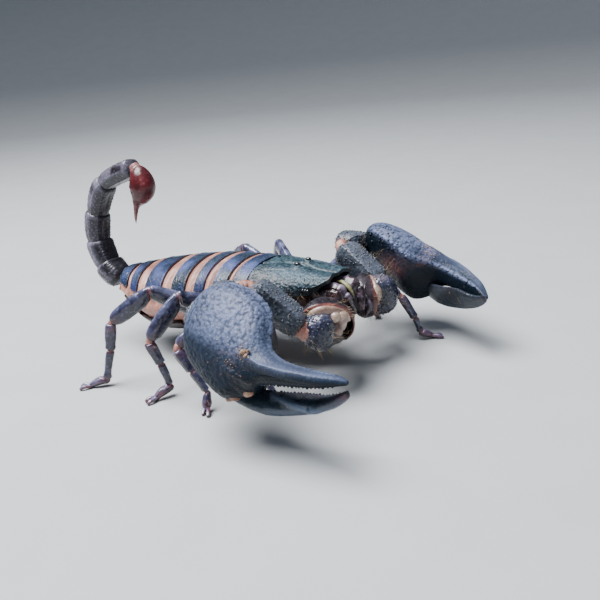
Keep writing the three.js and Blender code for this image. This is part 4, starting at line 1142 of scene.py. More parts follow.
for side, sign in SIDES.items():
    centre = np.array((midline + sign * RIM_CENTRE.x, RIM_CENTRE.y, RIM_CENTRE.z))
    forth = np.array((sign * 0.277, -0.961, 0.0))
    inward = np.array((-sign * 0.961, -0.277, 0.0))
    breadth_way = np.array((-sign * 0.616, -0.788, 0))
    outward = np.array((sign * 0.788, -0.616, 0))
    upward = np.array((0, 0, 1.0))
    fit, drawn_out, ahead = HOOD_FIT[side]
    centre = centre + forth * ahead * MM
    breadth_way, upward, outward = breadth_way * fit, upward * fit, outward * fit * drawn_out
    path = spline(LIP_PATH, 64)
    lip = centre + MM * (path[:, :1] * breadth_way + path[:, 1:2] * upward
                         + path[:, 2:3] * outward)
    turn = np.radians(path[:, 3:4])
    base = centre - forth * CUP_BACK + MM * (inward * CUP_RADII[0] * np.cos(turn)
                                             + upward * CUP_RADII[1] * np.sin(turn))
    middle = (lip + base) / 2
    arch = middle - (centre - forth * CUP_BACK * 0.3)
    arch = arch / np.linalg.norm(arch, axis=1)[:, None]
    shares = np.linspace(0, 1, 16)
    outer = np.array([base * (1 - t) + lip * t + arch * (HOOD_ARCH * math.sin(math.pi * t) ** 0.8)
                      for t in shares])
    thick = HOOD * MM * np.clip(2.2 - 1.4 * shares, 0.5, 2)[:, None, None]
    inner = outer - arch * thick
    outer[-3:-1] += arch * LIP_BEAD * MM
    mesh = closed_sheet(f"coxa_hood_{side}", outer, inner)
    reddened = np.tile(np.repeat(np.clip((shares - 0.86) / 0.08, 0, 1), len(lip)), 2)
    paint(mesh, "stain_and_glint", reddened)
    paint(mesh, "shade", np.concatenate([np.zeros(outer.size // 3), np.ones(outer.size // 3)]))
    hairy(mesh, 0.12 + 0.8 * reddened)
    made = piece(f"coxa_hood_{side}", mesh, coxa_finish, "belly")
    grow(made, bristles, f"coxa_hood_bristles_{side}", "belly", hair_finish, Count_per_area=1.6e6,
         Length=1.8 * MM, Thickness=0.025 * MM, Lie=(0.0, -1.0, -0.1), Stray=0.6, Seed=21)
    first, last, inset, radius = ROLL
    roll = spline(LIP_PATH[first:last + 1], 40)
    places = centre + MM * (roll[:, :1] * inset * breadth_way + roll[:, 1:2] * inset * upward
                            + (roll[:, 2:3] + 0.1) * outward)
    t = np.linspace(0, 1, 40)
    size = radius * MM * (0.25 + np.sin(math.pi * np.clip(t, 0.02, 0.98)) ** 0.6)
    whole = tube(places, outward, np.stack([size * 0.8, size * 1.3], 1))
    piece(f"coxa_roll_{side}", mesh_of("roll", whole), cream_finish, "membrane")
    balls = [dome(centre + MM * (b * breadth_way + u * upward + o * outward),
                  Vector((wide, wide, tall)) * MM, 24, 16) for b, u, o, wide, tall in LOBES]
    mesh = merge_balls("lobes", balls)
    places, facing = corners(mesh), facings(mesh)
    move_corners(mesh, places + facing * (LOBE_WAVES * lumps_at(places, 520))[:, None])
    paint(mesh, "stain_and_glint", 1.6 * np.clip(lumps_at(places, 620), 0, 1))
    piece(f"coxa_lobes_{side}", mesh, cream_finish, "membrane")

# ---- Mouth tissue -------------------------------------------------------------------------
# The soft yellow-green tissue that shows between the two jaws: a short tapered roll of skin
# that hangs from the mouth's roof and is held where the jaws' bases meet.

tissue_finish = membrane_finish("mouth tissue", (0.13, 0.12, 0.05, 1), (0.38, 0.38, 0.17, 1),
                                (0.06, 0.04, 0.03, 1), run=(1.0, 1.0, 1.0))
low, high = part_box("jaw_right")
points = ((midline + 0.2 * MM, low.y + 4.9 * MM, high.z - 0.2 * MM),
          (midline + 0.0 * MM, low.y + 3.4 * MM, high.z - 0.1 * MM),
          (midline - 0.35 * MM, low.y + 1.9 * MM, high.z - 0.8 * MM),
          (midline - 0.45 * MM, low.y + 0.8 * MM, high.z - 2.3 * MM))
size = 0.5 * MM * np.sin(np.linspace(0.08, math.pi - 0.08, 24)) ** 0.8
whole = tube(spline(points, 24), np.array((1.0, 0, 0)), np.stack([size, size * 0.8], 1))
piece("mouth_tissue", mesh_of("tissue", whole), tissue_finish, "membrane")

# ---- Claws --------------------------------------------------------------------------------
# The palm, a swollen and closely pebbled shell, is cast in one with its smooth teal finger. The
# moving finger turns on a hinge at its lower corner, which cream skin closes. Both biting edges
# have blunt teeth, and old soil is caked near the finger.

# Each claw's heading, pitch and roll, in degrees.
CLAW_HELD = {"right": (5, -8, 67), "left": (-15, -12.5, 48)}
# Places on a claw are a reach along it and a breadth toward its inner edge, in millimetres.
# Both are counted from a root, from which the palm's own tip lies here.
PALM_TIP = (-0.9, 2.4)
PEBBLE = 0.56 * MM
PEBBLE_RISE = 0.15 * MM
PALM_WAVES = 0.06 * MM
# In millimetres: the keel down the palm's face, a second one, the one along its inner edge,
# and the hollows below the first, behind the hinge and beside the inner edge.
KEEL_RISE, SECOND_RISE, EDGE_RISE = 0.34, 0.3, 0.36
KEEL_HOLLOW, HINGE_HOLLOW = 0.95, 0.45
EDGE_HOLLOW = {"right": 0.5, "left": 0.15}
# In millimetres, how far the palm's corner is drawn out, and the left finger drawn in.
CORNER_OUT, FINGER_IN = 0.75, 0.9
# A spot of dried soil: its reach and breadth, its size, and the lumps that it is made of.
TAN_SPOT = {"right": (14.6, 1.2, 0.6), "left": (14.6, 4.3, 0.9)}
TAN_LUMPS = ((0.0, 0.0, (0.62, 0.5, 0.42)), (0.55, -0.35, (0.42, 0.36, 0.34)),
             (-0.6, 0.2, (0.34, 0.3, 0.28)), (0.9, 0.5, (0.26, 0.24, 0.22)))
# How much painted highlight the granules of the inner edge take, and how big they are.
RIDGE_SHINE = {"right": 0.3, "left": 0.9}
RIDGE_GRANULE = {"right": 0.17 * MM, "left": 0.34 * MM}
# How much less painted highlight each fixed finger takes on top.
FINGER_PLAIN = {"right": 0.5, "left": 0.9}
# The line of the keel down the palm and its finger.
KEEL_REACH = (6, 8.5, 11, 14, 18, 22, 26, 31)
KEEL_BREADTH = (2.4, 1.8, 1.4, 0.9, 0.5, 0.9, 1.6, 2.5)
# How a moving finger is drawn: longer, lifted at its root, lowered at its point, flatter
# below, fuller along its biting edge.
FINGER_FIT = {"right": (0.0, 0.0, 0.0, 0.0, 0.4), "left": (2.3, 0.7, 0.25, 0.46, 3.1)}
# How far a moving finger's root is set inward, back and up, in under the palm.
FINGER_ROOT = (0.5, 2.3, 0.9)
# In millimetres: its keel, its soft and its close lumps, and how much fuller it is all over.
FINGER_KEEL, FINGER_WAVES, FINGER_PEBBLE, FINGER_PLUMP = 0.38, 0.07, 0.05, 0.10
# Beyond this line, toward its outer edge, the right palm is painted in shade, in its deep colour.
LOW_REACH = (3.5, 9.6, 13.6, 18, 22, 26, 31)
LOW_BREADTH = (1.4, 1.0, 0.3, 0.2, 0.9, 1.8, 2.6)
TEETH = 20
# Each lobe of the hinge's skin: its reach, breadth, height over the root, and its size.
HINGE_LOBES = ((14.7, -4.9, 0.5, 1.15), (13.8, -5.4, 0.6, 0.7), (12.2, -6.5, 0.4, 1.15),
               (11.2, -7.2, 0.1, 0.85))

palm_finishes = {
    side: shell_finish(f"{side} palm shell", (0.003, 0.007, 0.013, 1), (0.013, 0.026, 0.050, 1),
                       (0.20, 0.23, 0.38, 1), stain_and_glint, cloud=210.0, pebble=2200.0, relief=0.09,
                       top_highlight_share=0.14, gloss=(0.34, 0.52), polish=0.03, shine=0.16)
    for side, stain_and_glint in (("right", (0.20, 0.115, 0.08, 1)), ("left", (0.25, 0.105, 0.085, 1)))}
finger_finish = shell_finish("finger shell", (0.003, 0.009, 0.015, 1), (0.012, 0.027, 0.042, 1),
                             (0.13, 0.17, 0.26, 1), (0.09, 0.045, 0.06, 1), cloud=300.0,
                             pebble=2600.0, relief=0.035, top_highlight_share=0.12, gloss=(0.3, 0.5),
                             polish=0.12)
hinge_finish = membrane_finish("hinge membrane", (0.34, 0.13, 0.06, 1), (0.66, 0.42, 0.28, 1),
                               (0.07, 0.035, 0.03, 1), run=(1.0, 1.0, 1.0))
crumb_finish = shell_finish("dried soil", (0.13, 0.075, 0.05, 1), (0.38, 0.235, 0.16, 1),
                            (0.60, 0.42, 0.28, 1), (0.14, 0.08, 0.05, 1), cloud=900.0,
                            pebble=3000.0, relief=0.06, top_highlight_share=0.3, gloss=(0.6, 0.8),
                            polish=0.0)


def claw_axes(sign, heading, pitch, roll):
    """Along a claw, toward its inner edge, and out of its upper face, as unit vectors."""
    heading, pitch, roll = (math.radians(v) for v in (heading, pitch, roll))
    along = Vector((sign * math.sin(heading) * math.cos(pitch),
                    -math.cos(heading) * math.cos(pitch), math.sin(pitch)))
    inward = along.cross(Vector((0, 0, 1))).normalized() * sign
    upward = along.cross(inward)
    if upward.z < 0:
        upward.negate()
    inward = inward * math.cos(roll) + upward * math.sin(roll)
    out = along.cross(inward) * -sign
    return [np.array(v) for v in (along, inward, out)]


def blunt_teeth(mesh, root, axes, facing_in, first, last, size):
    """A row of rounded teeth along a finger's biting edge, as loose closed bodies."""
    along, inward, _ = axes
    places = corners(mesh)
    reach = ((places - root) @ along) / MM
    breadth = ((places - root) @ inward) / MM
    balls = []
    for i in range(TEETH):
        at = first + (last - first) * (i + 0.5) / TEETH
        near = np.abs(reach - at) < 0.35
        edge = np.argmax(np.where(near, breadth * facing_in, -1e9))
        big = size * (1.25 if i % 4 == 1 else 0.85)
        balls.append(dome(places[edge], Vector((big, big, big)) * MM, 10, 6))
    return merge_balls("teeth", balls)


for side, sign in SIDES.items():
    axes = claw_axes(sign, *CLAW_HELD[side])
    along, inward, out = axes
    root = corners(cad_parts[f"palm_{side}"].data)
    root = root[np.argmin(root @ along)] - (along * PALM_TIP[0] + inward * PALM_TIP[1]) * MM
    for part in ("palm", "moving_finger"):
        name = f"{part}_{side}"
        mesh = smooth(cage_of(name), 4, sharp=85)
        places, facing = corners(mesh), facings(mesh)
        reach = ((places - root) @ along) / MM
        breadth = ((places - root) @ inward) / MM
        lift = facing @ out
        finger = np.clip((reach - 13.0) / 5.0, 0, 1)
        keel_at = np.interp(reach, KEEL_REACH, KEEL_BREADTH)
        inner_side = np.arctan2(lift, facing @ inward)
        under_keel = bell(inner_side, -0.18, 0.20) * meet(reach, 3, 29, 3)
        if part == "palm":
            # Keels, hollows and pebbles.
            upper = np.clip(lift * 3, 0, 1)
            keel = bell(breadth - keel_at, 0, 0.34) * np.clip((reach - 13) / 5, 0, 1) * upper
            keel *= np.clip((29 - reach) / 6, 0, 1)
            below = bell(breadth - keel_at, -1.7, 1.25) * bell(reach, 20, 6) * upper
            recess = bell(reach, 14.0, 2.6) * bell(breadth, -4.2, 1.3) * upper
            second = bell(breadth - keel_at, -3.3, 0.35) * bell(reach, 14.5, 3.5) * upper
            hollow = bell(inner_side, -0.85, 0.40) * meet(reach, 4, 26, 4)
            pebbles = np.clip(cells_at(places, PEBBLE) * 1.5, 0, 1)
            rough_share = (1 - finger) * (0.55 + 0.45 * np.clip(lift + 0.5, 0, 1))
            relief = PEBBLE_RISE * pebbles * rough_share
            relief += MM * (KEEL_RISE * keel - KEEL_HOLLOW * below + SECOND_RISE * second
                            - HINGE_HOLLOW * recess)
            relief += MM * (EDGE_RISE * under_keel - EDGE_HOLLOW[side] * hollow)
            relief += PALM_WAVES * lumps_at(places, 300)
            corner = meet(reach, 12.2, 17.5, 3.0) * np.clip((-2.2 - breadth) / 2, 0, 1)
            places = places + (CORNER_OUT * corner * MM)[:, None] * (along - inward)
            # Soil near the finger, one caked spot of it, and a patch on the lower face.
            soil = meet(reach, 9.5, 15.5, 4.0) * meet(breadth - keel_at, -4.6, -0.6, 1.6) * upper
            stain_and_glint = 0.55 * soil * np.clip(0.2 + 2.4 * lumps_at(places, 1500), 0, 1)
            spot_reach, spot_breadth, spot_size = TAN_SPOT[side]
            spot = np.hypot(reach - spot_reach, breadth - spot_breadth)
            stain_and_glint = np.maximum(stain_and_glint, 0.9 * bell(spot, 0, spot_size) * (lift > -0.3))
            patch = np.hypot((reach - 10.0) / 3.8, (breadth - 5.4) / 2.6)
            patch = (lift < -0.3) * np.clip(1.4 - patch, 0, 1)
            stain_and_glint = np.maximum(stain_and_glint, 0.9 * patch)
            # Painted highlight with some wear: the pale colour on pebble tops, keels, the inner
            # edge's granules, the palm's middle, the fixed finger's top and whatever faces up. The
            # left palm's dried soil spot takes it as its own colour.
            lilac = bell(reach, 9.0, 4.5) * bell(breadth, 4.5, 3.6) * (lift > -0.2)
            highlighted_tops = np.clip((pebbles - 0.45) * 2.2, 0, 1)
            wear_and_highlight = 0.5 * highlighted_tops * rough_share * (0.45 + 0.55 * lilac)
            wear_and_highlight = wear_and_highlight + 0.36 * lilac + 0.35 * keel
            wear_and_highlight = wear_and_highlight + under_keel * (pebbles > 0.4) * RIDGE_SHINE[side]
            wear_and_highlight = np.maximum(wear_and_highlight, (side == "left") * bell(spot, 0, spot_size * 1.6) * (lift > 0))
            wear_and_highlight = wear_and_highlight + 0.35 * finger * np.clip(lift, 0, 1) * (breadth > keel_at)
            wear_and_highlight = wear_and_highlight + 0.42 * np.clip(facing[:, 2] + 0.1, 0, 1) * (
                1 - FINGER_PLAIN[side] * finger)
            # Painted shade: the deep colour in hollows and grooves and on whatever faces down.
            grooves = 0.5 * np.clip(1 - pebbles * 2, 0, 1) * rough_share
            shade = np.maximum(1.1 * below + recess, grooves)
            shade = np.maximum(shade, np.clip(-lift * 2.2 - 0.1, 0, 1) * (1 - under_keel))
            underneath = np.clip(2.2 * (0.12 - facing[:, 2]), 0, 1)
            shade = np.maximum(shade, underneath) * (1 - 0.9 * np.clip(patch, 0, 1))
            if side == "right":
                edge_at = np.interp(reach, LOW_REACH, LOW_BREADTH)
                soft = np.where(reach > 16, 1.1, 2.2)
                low_side = meet(breadth - edge_at, -14, -0.5, soft) * meet(reach, -2, 31, 3)
                shade = np.maximum(shade, 0.85 * low_side * (0.8 + 0.2 * pebbles) * (lift > -0.1))
            else:
                closer = np.clip(-breadth - 1.2, 0, 1) * finger
                places = places - (FINGER_IN * closer * MM)[:, None] * inward
        else:
            base = np.clip((16.5 - reach) / 3.6, 0, 1)
            set_in, set_back, set_up = FINGER_ROOT
            places = places + (base * MM)[:, None] * (
                inward * set_in - along * set_back + out * set_up)
            keel = bell(breadth - keel_at, -5.4, 0.4) * np.clip(lift * 3, 0, 1)
            longer, lifted, dropped, flatter, fuller = FINGER_FIT[side]
            share = np.clip((reach - 13) / 16, 0, 1)
            sunk = np.clip(-1.2 - ((places - root) @ out) / MM, 0, 9)
            swell = fuller * np.clip(facing @ inward, 0, 1) * np.clip((30 - reach) / 6, 0, 1)
            swell *= 1 + 0.5 * bell(reach, 23.5, 4.5)
            shift = swell + lifted * (1 - share) - dropped * share ** 1.5
            places = places + MM * (np.outer(longer * share, along) + np.outer(shift, inward)
                                    + np.outer(flatter * sunk, out))
            relief = FINGER_KEEL * MM * keel + FINGER_WAVES * MM * lumps_at(places, 500)
            relief = relief + FINGER_PLUMP * MM
            relief += FINGER_PEBBLE * MM * cells_at(places, 0.6 * MM)
            # A stain at the point. Painted highlight on the keel and the outer edge, and painted
            # shade on the lower face.
            stain_and_glint = 0.9 * bell(reach, 31, 2.6)
            wear_and_highlight = 0.8 * keel * (lumps_at(places, 700) > -0.2)
            wear_and_highlight = wear_and_highlight + 0.55 * np.clip(0.2 - facing @ inward, 0, 1) * meet(reach, 17, 30, 4)
            shade = 0.25 * np.clip(-lift, 0, 1)
        move_corners(mesh, places + facing * relief[:, None])
        bite = np.clip(facing @ inward * (-1 if part == "palm" else 1) - 0.45, 0, 1)
        stain_and_glint = np.maximum(stain_and_glint, 0.8 * bite * np.clip((reach - 15) / 2, 0, 1))
        paint(mesh, "stain_and_glint", stain_and_glint)
        paint(mesh, "wear_and_highlight", wear_and_highlight)
        paint(mesh, "shade", shade)
        paint(mesh, "grains", np.maximum(bell(breadth, 9.4, 0.8), under_keel)
              * (1 - finger) * (part == "palm"))
        tip = np.clip((reach - 24) / 5, 0, 1)
        hairy(mesh, 0.03 + 0.5 * tip * np.clip(-lift, 0, 1) + 0.1 * finger)
        finish = palm_finishes[side] if part == "palm" else finger_finish
        made = piece(f"{name}_shell", mesh, finish, "claw", name)
        grow(made, bristles, f"{name}_bristles", "claw", hair_finish, Count_per_area=4.0e5,
             Length=1.6 * MM, Thickness=0.018 * MM, Lie=tuple(along * 0.9), Stray=0.5, Seed=31)
        if part == "palm":
            field = bell(np.hypot(reach - 10, breadth - 5), 0, 3.2) * (lift < -0.3)
            hairy(made.data, field)
            grow(made, bristles, f"{name}_long_bristles", "claw", hair_finish,
                 Count_per_area=2.4e5, Length=4.0 * MM, Thickness=0.024 * MM,
                 Lie=tuple(inward * -0.6 - along * 0.5), Stray=0.4, Seed=37)
            grow(made, granules, f"{name}_granules", "claw", finish, Count_per_area=2.2e6,
                 Spacing=0.55 * MM, Granule_radius=RIDGE_GRANULE[side], Seed=11)
            crumbs = soil * np.clip(0.15 + 1.6 * lumps_at(places, 700), 0, 1)
            crumbs += 0.6 * bell(spot, 0.8, spot_size * 1.5) * (lift > 0)
            paint(made.data, "grains", crumbs)
            grow(made, granules, f"{name}_crumbs", "claw", crumb_finish, Count_per_area=6.0e6,
                 Spacing=0.22 * MM, Granule_radius=0.12 * MM, Seed=13)
            if side == "right":
                at = corners(made.data)[np.argmin(np.where(lift > 0.1, spot, 1e9))]
                lumps = [dome(at + (along * r + inward * b) * MM, Vector(radii) * MM, 24, 16)
                         for r, b, radii in TAN_LUMPS]
                mesh = merge_balls("lump", lumps)
                places, facing = corners(mesh), facings(mesh)
                crusty = 0.3 * MM * lumps_at(places, 1500)
                move_corners(mesh, places + facing * crusty[:, None])
                piece(f"palm_lump_{side}", mesh, crumb_finish, "claw")
            teeth = blunt_teeth(made.data, root, axes, -1, 17.5, 29.5, 0.19)
        else:
            teeth = blunt_teeth(made.data, root, axes, 1, 16.5, 29.0, 0.18)
        piece(f"{name}_teeth", teeth, finger_finish, "claw")
    balls = [dome(root + (along * r + inward * b + out * u) * MM,
                  Vector((big, big * 0.8, big * 0.7)) * MM, 24, 16)
             for r, b, u, big in HINGE_LOBES]
    mesh = merge_balls("hinge", balls)
    places, facing = corners(mesh), facings(mesh)
    move_corners(mesh, places + facing * (0.25 * MM * lumps_at(places, 700))[:, None])
    paint(mesh, "stain_and_glint", 1.5 * np.clip(lumps_at(places, 500), 0, 1))
    piece(f"hinge_skin_{side}", mesh, hinge_finish, "membrane")

# ---- Legs ---------------------------------------------------------------------------------
# Eight walking legs of smooth, polished shell, blue to purple black, with pink-red rings of
# soft skin at the joints. The end of each foot is browner and bears two small hooked claws.

# The rings of each solid at which a joint within it lies.
LEG_JOINTS = {"leg": (3, 7), "foot": (4, 6)}
JOINT_REACH = 2.2 * MM
# In millimetres.
JOINT_LIP, JOINT_GROOVE = 0.12, 0.20
LEG_WAVES = 0.06 * MM
LEG_PEBBLE_RISE = 0.05 * MM
LEG_PLUMP = 0.12 * MM
FOOT_SWELL = 0.28 * MM

leg_finish = shell_finish("leg shell", (0.005, 0.005, 0.013, 1), (0.022, 0.020, 0.050, 1),
                          (0.25, 0.27, 0.48, 1), (0.28, 0.07, 0.07, 1), cloud=420.0,
                          pebble=1100.0, relief=0.09, top_highlight_share=0.2, gloss=(0.12, 0.28),
                          polish=0.7)
leg_joint_finish = membrane_finish("leg joint membrane", (0.22, 0.065, 0.05, 1),
                                   (0.48, 0.20, 0.16, 1), (0.07, 0.03, 0.03, 1),
                                   run=(1.0, 1.0, 1.0))
for side in SIDES:
    for number in range(1, 5):
        knee = meeting(f"leg_{number}_{side}", f"foot_{number}_{side}")
        body = Vector((midline, knee.y * 0.5, 12 * MM))
        for part, toward in (("leg", body), ("foot", knee)):
            name = f"{part}_{number}_{side}"
            mesh = smooth(cage_of(name), 3, sharp=62, passes=2)
            places, facing = corners(mesh), facings(mesh)
            rings = rings_of(name, toward)
            relief = LEG_WAVES * lumps_at(places, 500)
            relief = relief + LEG_PEBBLE_RISE * cells_at(places, 0.7 * MM)
            stain_and_glint = np.zeros(len(places))
            for index in LEG_JOINTS[part]:
                middle = rings[index].mean(0)
                way = unit(rings[index + 1].mean(0) - rings[index - 1].mean(0))
                step = ((places - middle) @ way) / MM
                near = np.linalg.norm(places - middle, axis=1) < JOINT_REACH
                relief += near * MM * (JOINT_LIP * bell(step, -0.55, 0.3)
                                       - JOINT_GROOVE * bell(step, 0, 0.22))
                stain_and_glint = np.maximum(stain_and_glint, near * 0.9 * bell(step, 0.05, 0.30))
            ends = np.linalg.norm(places - np.array(knee), axis=1) / MM
            stain_and_glint = np.maximum(stain_and_glint, 0.45 * bell(ends, 0, 1.5))
            if part == "foot":
                stain_and_glint = np.maximum(stain_and_glint, 0.5 * np.clip((2.8 - places[:, 2] / MM) / 2.2, 0, 1))
                relief += FOOT_SWELL * bell(places[:, 2] / MM, 1.5, 0.9)
            relief = (relief + LEG_PLUMP) * np.clip(places[:, 2] / MM - 0.1, 0, 1)
            move_corners(mesh, places + facing * relief[:, None])
            paint(mesh, "stain_and_glint", stain_and_glint)
            # Painted highlight on upward faces, with a few random pale patches. Painted shade on
            # downward faces.
            above = np.clip(facing[:, 2], 0, 1) * np.clip(0.6 + lumps_at(places, 600), 0, 1)
            paint(mesh, "wear_and_highlight", 0.85 * above + 0.14 * np.clip(lumps_at(places, 900), 0, 1))
            paint(mesh, "shade", 0.8 * np.clip(-2 * facing[:, 2], 0, 1))
            lie = unit(rings[-2].mean(0) - rings[1].mean(0))
            hairy(mesh, (0.2 if part == "leg" else 0.7) * (places[:, 2] > 2.2 * MM))
            made = piece(f"{name}_shell", mesh, leg_finish, part, name)
            grow(made, bristles, f"{name}_bristles", part, hair_finish, Count_per_area=9.0e5,
                 Length=1.1 * MM, Thickness=0.017 * MM, Lie=tuple(lie * 0.8), Stray=0.45,
                 Seed=40 + number)
        join_limbs(f"knee_skin_{number}_{side}", f"leg_{number}_{side}", f"foot_{number}_{side}",
                   leg_joint_finish, girth=1.05, sink=0.5)

# ---- Combs --------------------------------------------------------------------------------
# Two pale sense organs under the trunk, each a jointed bar with a row of blunt teeth. They
# hang from the first belly ring and are seen only from below.

comb_finish = membrane_finish("comb shell", (0.42, 0.28, 0.17, 1), (0.62, 0.46, 0.30, 1),
                              (0.20, 0.11, 0.07, 1), run=(1.0, 1.0, 1.0))
for side in SIDES:
    mesh = smooth(cage_of(f"comb_{side}"), 2, sharp=40, passes=1)
    piece(f"comb_{side}_organ", mesh, comb_finish, "comb", f"comb_{side}")

# ---- Tail ---------------------------------------------------------------------------------
# Five ringed segments of thick brown-black shell, longer toward the end. Each has paired keels
# above, at the sides and below, set with blunt granules, and is lilac-grey on its keels, ring ends
# and flanks, as wear and painted highlight, with painted shade on its inner face and neck. The
# front of each is a narrower neck that turns inside the rim of the one before.

# The angles round a ring, from its inner face, at which its keels run.
TAIL_KEELS = (0.62, 1.5, 2.5)
TAIL_KEEL_RISE = 0.20 * MM
TAIL_TROUGH = 0.16 * MM
TAIL_WAVES = 0.05 * MM
TAIL_PEBBLE_RISE = 0.05 * MM
RING_SIDES, RING_STEPS, NECK_STEPS = 96, 44, 4
RING_GIRTH = ((0.0, 0.80), (0.06, 0.87), (0.25, 0.97), (0.55, 1.0), (0.85, 1.02), (0.95, 0.98),
              (1.0, 0.86))
RING_SQUARE = 2.6

tail_finish = shell_finish("tail shell", (0.007, 0.006, 0.008, 1), (0.032, 0.027, 0.036, 1),
                           (0.28, 0.26, 0.36, 1), (0.17, 0.085, 0.065, 1), pebble=1500.0,
                           relief=0.06, top_highlight_share=0.36, gloss=(0.26, 0.46), polish=0.2)


def lofted(name, path, across, wide, deep, sides, square=2.0):
    """A closed body lofted along a path. Gives its mesh, and the share of the way and the
    turn round the path at each of its corners."""
    mesh = mesh_of(name, tube(path, across, np.stack([wide, deep], 1), sides))
    turn = np.tile(np.arange(sides) * 2 * math.pi / sides, len(path))
    fuller = (np.abs(np.cos(turn)) ** square + np.abs(np.sin(turn)) ** square) ** (-1 / square)
    middle = np.repeat(path, sides, axis=0)
    move_corners(mesh, middle + (corners(mesh) - middle) * fuller[:, None])
    return mesh, np.repeat(np.linspace(0, 1, len(path)), sides), turn


fronts, backs, girths = [], [], []
for number in range(1, 6):
    name = f"tail_{number}"
    before = centre_of(f"tail_{number - 1}") if number > 1 else centre_of("tergite_7")
    after = centre_of(f"tail_{number + 1}") if number < 5 else centre_of("telson")
    fronts.append(end_of(name, before)[0])
    backs.append(end_of(name, after)[0])
    girths.append(rings_of(name, before)[4])
joints = [fronts[0]] + [(b + f) / 2 for b, f in zip(backs, fronts[1:])] + [backs[-1]]
tail_path = spline(joints, 5 * RING_STEPS + 1)
across = unit(np.cross(joints[2] - joints[0], joints[4] - joints[2]))
if across[0] < 0:
    across = -across
for number in range(1, 6):
    first = (number - 1) * RING_STEPS
    path = tail_path[max(first - NECK_STEPS, 0):first + RING_STEPS + 2]
    round_ring = girths[number - 1] - girths[number - 1].mean(0)
    half_wide = np.abs(round_ring @ across).max()
    half_deep = np.linalg.norm(round_ring - np.outer(round_ring @ across, across), axis=1).max()
    share = np.linspace(0, 1, len(path))
    size = np.interp(share, *zip(*RING_GIRTH))
    mesh, along, turn = lofted(f"tail_ring_{number}", path, across, half_wide * 0.97 * size,
                               half_deep * 0.95 * size, RING_SIDES, RING_SQUARE)
    places, facing = corners(mesh), facings(mesh)
    turned = np.abs((turn + 0.5 * math.pi + math.pi) % (2 * math.pi) - math.pi)
    saw = 0.75 + 0.25 * np.cos(along * 2 * math.pi * (6 + number))
    keels = sum(bell(turned, where, 0.13) for where in TAIL_KEELS) * bell(along, 0.55, 0.42)
    trough = TAIL_TROUGH * bell(turned, 0, 0.3) * bell(along, 0.5, 0.3)
    relief = TAIL_KEEL_RISE * keels * saw - trough
    relief += TAIL_PEBBLE_RISE * cells_at(places, 0.5 * MM) + TAIL_WAVES * lumps_at(places, 500)
    move_corners(mesh, places + facing * relief[:, None])
    # Painted highlight on the lilac flanks, with wear on the keels and ring ends. The outer face
    # is stained browner. Painted shade on the inner face and at the neck.
    flank = 0.55 * bell(turned, 1.9, 0.55) * np.clip(0.6 + 1.8 * lumps_at(places, 350), 0, 1)
    paint(mesh, "wear_and_highlight", 0.45 * keels * saw + 0.4 * bell(along, 0.93, 0.05) + flank)
    outer_face = np.clip(turned / math.pi - 0.45, 0, 1)
    paint(mesh, "stain_and_glint", 0.5 * outer_face * (0.6 + lumps_at(places, 400)))
    inner_face = 0.75 * np.clip(1.3 - turned, 0, 1)
    paint(mesh, "shade", np.maximum(np.clip(1 - along / 0.14, 0, 1), inner_face))
    paint(mesh, "grains", 0.8 * keels)
    hairy(mesh, np.full(len(places), 0.2))
    made = piece(f"tail_ring_{number}", mesh, tail_finish, "tail", f"tail_{number}")
    grow(made, granules, f"tail_granules_{number}", "tail", tail_finish, Count_per_area=4.0e6,
         Spacing=0.42 * MM, Granule_radius=0.13 * MM, Seed=60 + number)
    grow(made, bristles, f"tail_bristles_{number}", "tail", hair_finish, Count_per_area=3.0e5,
         Length=1.3 * MM, Thickness=0.018 * MM, Lie=tuple((path[-1] - path[0]) * 80), Stray=0.5,
         Seed=70 + number)

# ---- Telson -------------------------------------------------------------------------------
# The dark red bulb that holds the venom glands, with low blunt granules and a few hairs, and
# the curved sting that it narrows into: one shell, paler and thinner to its point.

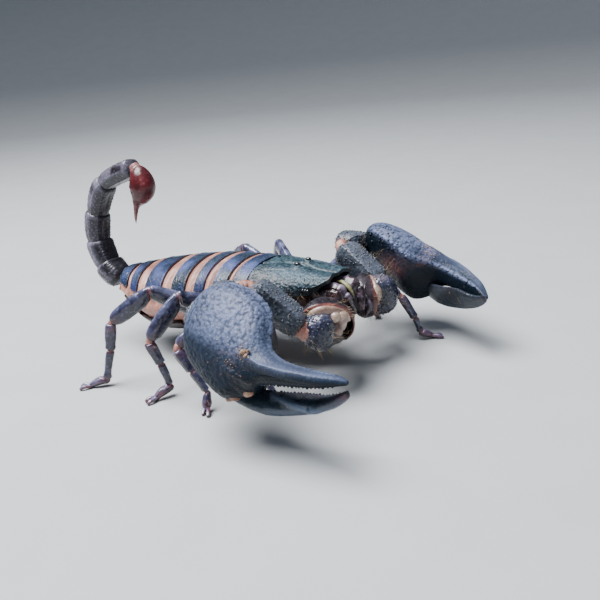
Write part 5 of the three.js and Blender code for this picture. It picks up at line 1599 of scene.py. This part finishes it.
# Share of the way from the tail's end to the sting's point, bow to the front, half depth.
TELSON_SHAPE = ((-0.03, 0.2, 1.0), (0.03, 0.8, 1.3), (0.10, 1.6, 2.0), (0.19, 2.2, 2.45),
                (0.29, 2.5, 2.7), (0.37, 2.45, 2.65), (0.47, 1.95, 2.2), (0.55, 1.35, 1.6),
                (0.63, 0.75, 0.98), (0.71, 0.35, 0.60), (0.80, 0.15, 0.44), (0.90, 0.0, 0.30),
                (1.0, 0.0, 0.05))
STING_FROM = 0.70
# How much lower than its solid the sting's point is drawn.
STING_DOWN = 0.7 * MM
BULB_SIDES = 72
# In millimetres.
BULB_WAVES, BULB_PEBBLE = 0.10, 0.05

telson_finish = shell_finish("telson shell", (0.040, 0.004, 0.006, 1), (0.13, 0.014, 0.018, 1),
                             (0.34, 0.15, 0.17, 1), (0.42, 0.19, 0.17, 1), cloud=240.0,
                             pebble=1100.0, relief=0.05, top_highlight_share=0.14, gloss=(0.26, 0.46),
                             polish=0.25)
top = backs[-1]
tip = corners(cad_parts["sting"].data)
tip = tip[np.argmin(tip[:, 2])] - np.array((0, 0, STING_DOWN))
forward = unit(np.cross(across, tip - top))
if forward[1] > 0:
    forward = -forward
shape = spline(TELSON_SHAPE, 140)
line = top + shape[:, :1] * (tip - top) + shape[:, 1:2] * MM * forward
size = shape[:, 2] * MM
for name, node_name, picked in (
        ("telson_bulb", "telson", shape[:, 0] < STING_FROM + 0.02),
        ("sting_point", "sting", shape[:, 0] > STING_FROM)):
    mesh = lofted(name, line[picked], across, size[picked] * 0.96, size[picked], BULB_SIDES)[0]
    places, facing = corners(mesh), facings(mesh)
    down = np.repeat(shape[picked, 0], BULB_SIDES)
    slack = np.clip((STING_FROM - down) * 8, 0, 1)
    relief = BULB_WAVES * lumps_at(places, 420) + BULB_PEBBLE * cells_at(places, 0.8 * MM)
    relief = relief * MM * slack
    move_corners(mesh, places + facing * relief[:, None])
    paint(mesh, "stain_and_glint", 0.9 * np.clip((down - 0.6) / 0.3, 0, 1) + bell(down, -0.02, 0.06))
    hairy(mesh, 0.4 * slack)
    made = piece(name, mesh, telson_finish, "telson", node_name)
    grow(made, bristles, f"{name}_bristles", "telson", hair_finish, Count_per_area=4.0e5,
         Length=1.1 * MM, Thickness=0.017 * MM, Lie=(0.0, 0.0, -0.6), Stray=0.5, Seed=81)

size = {"cad": [list(cad_low), list(cad_high)], "visual": [list(v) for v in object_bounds()]}
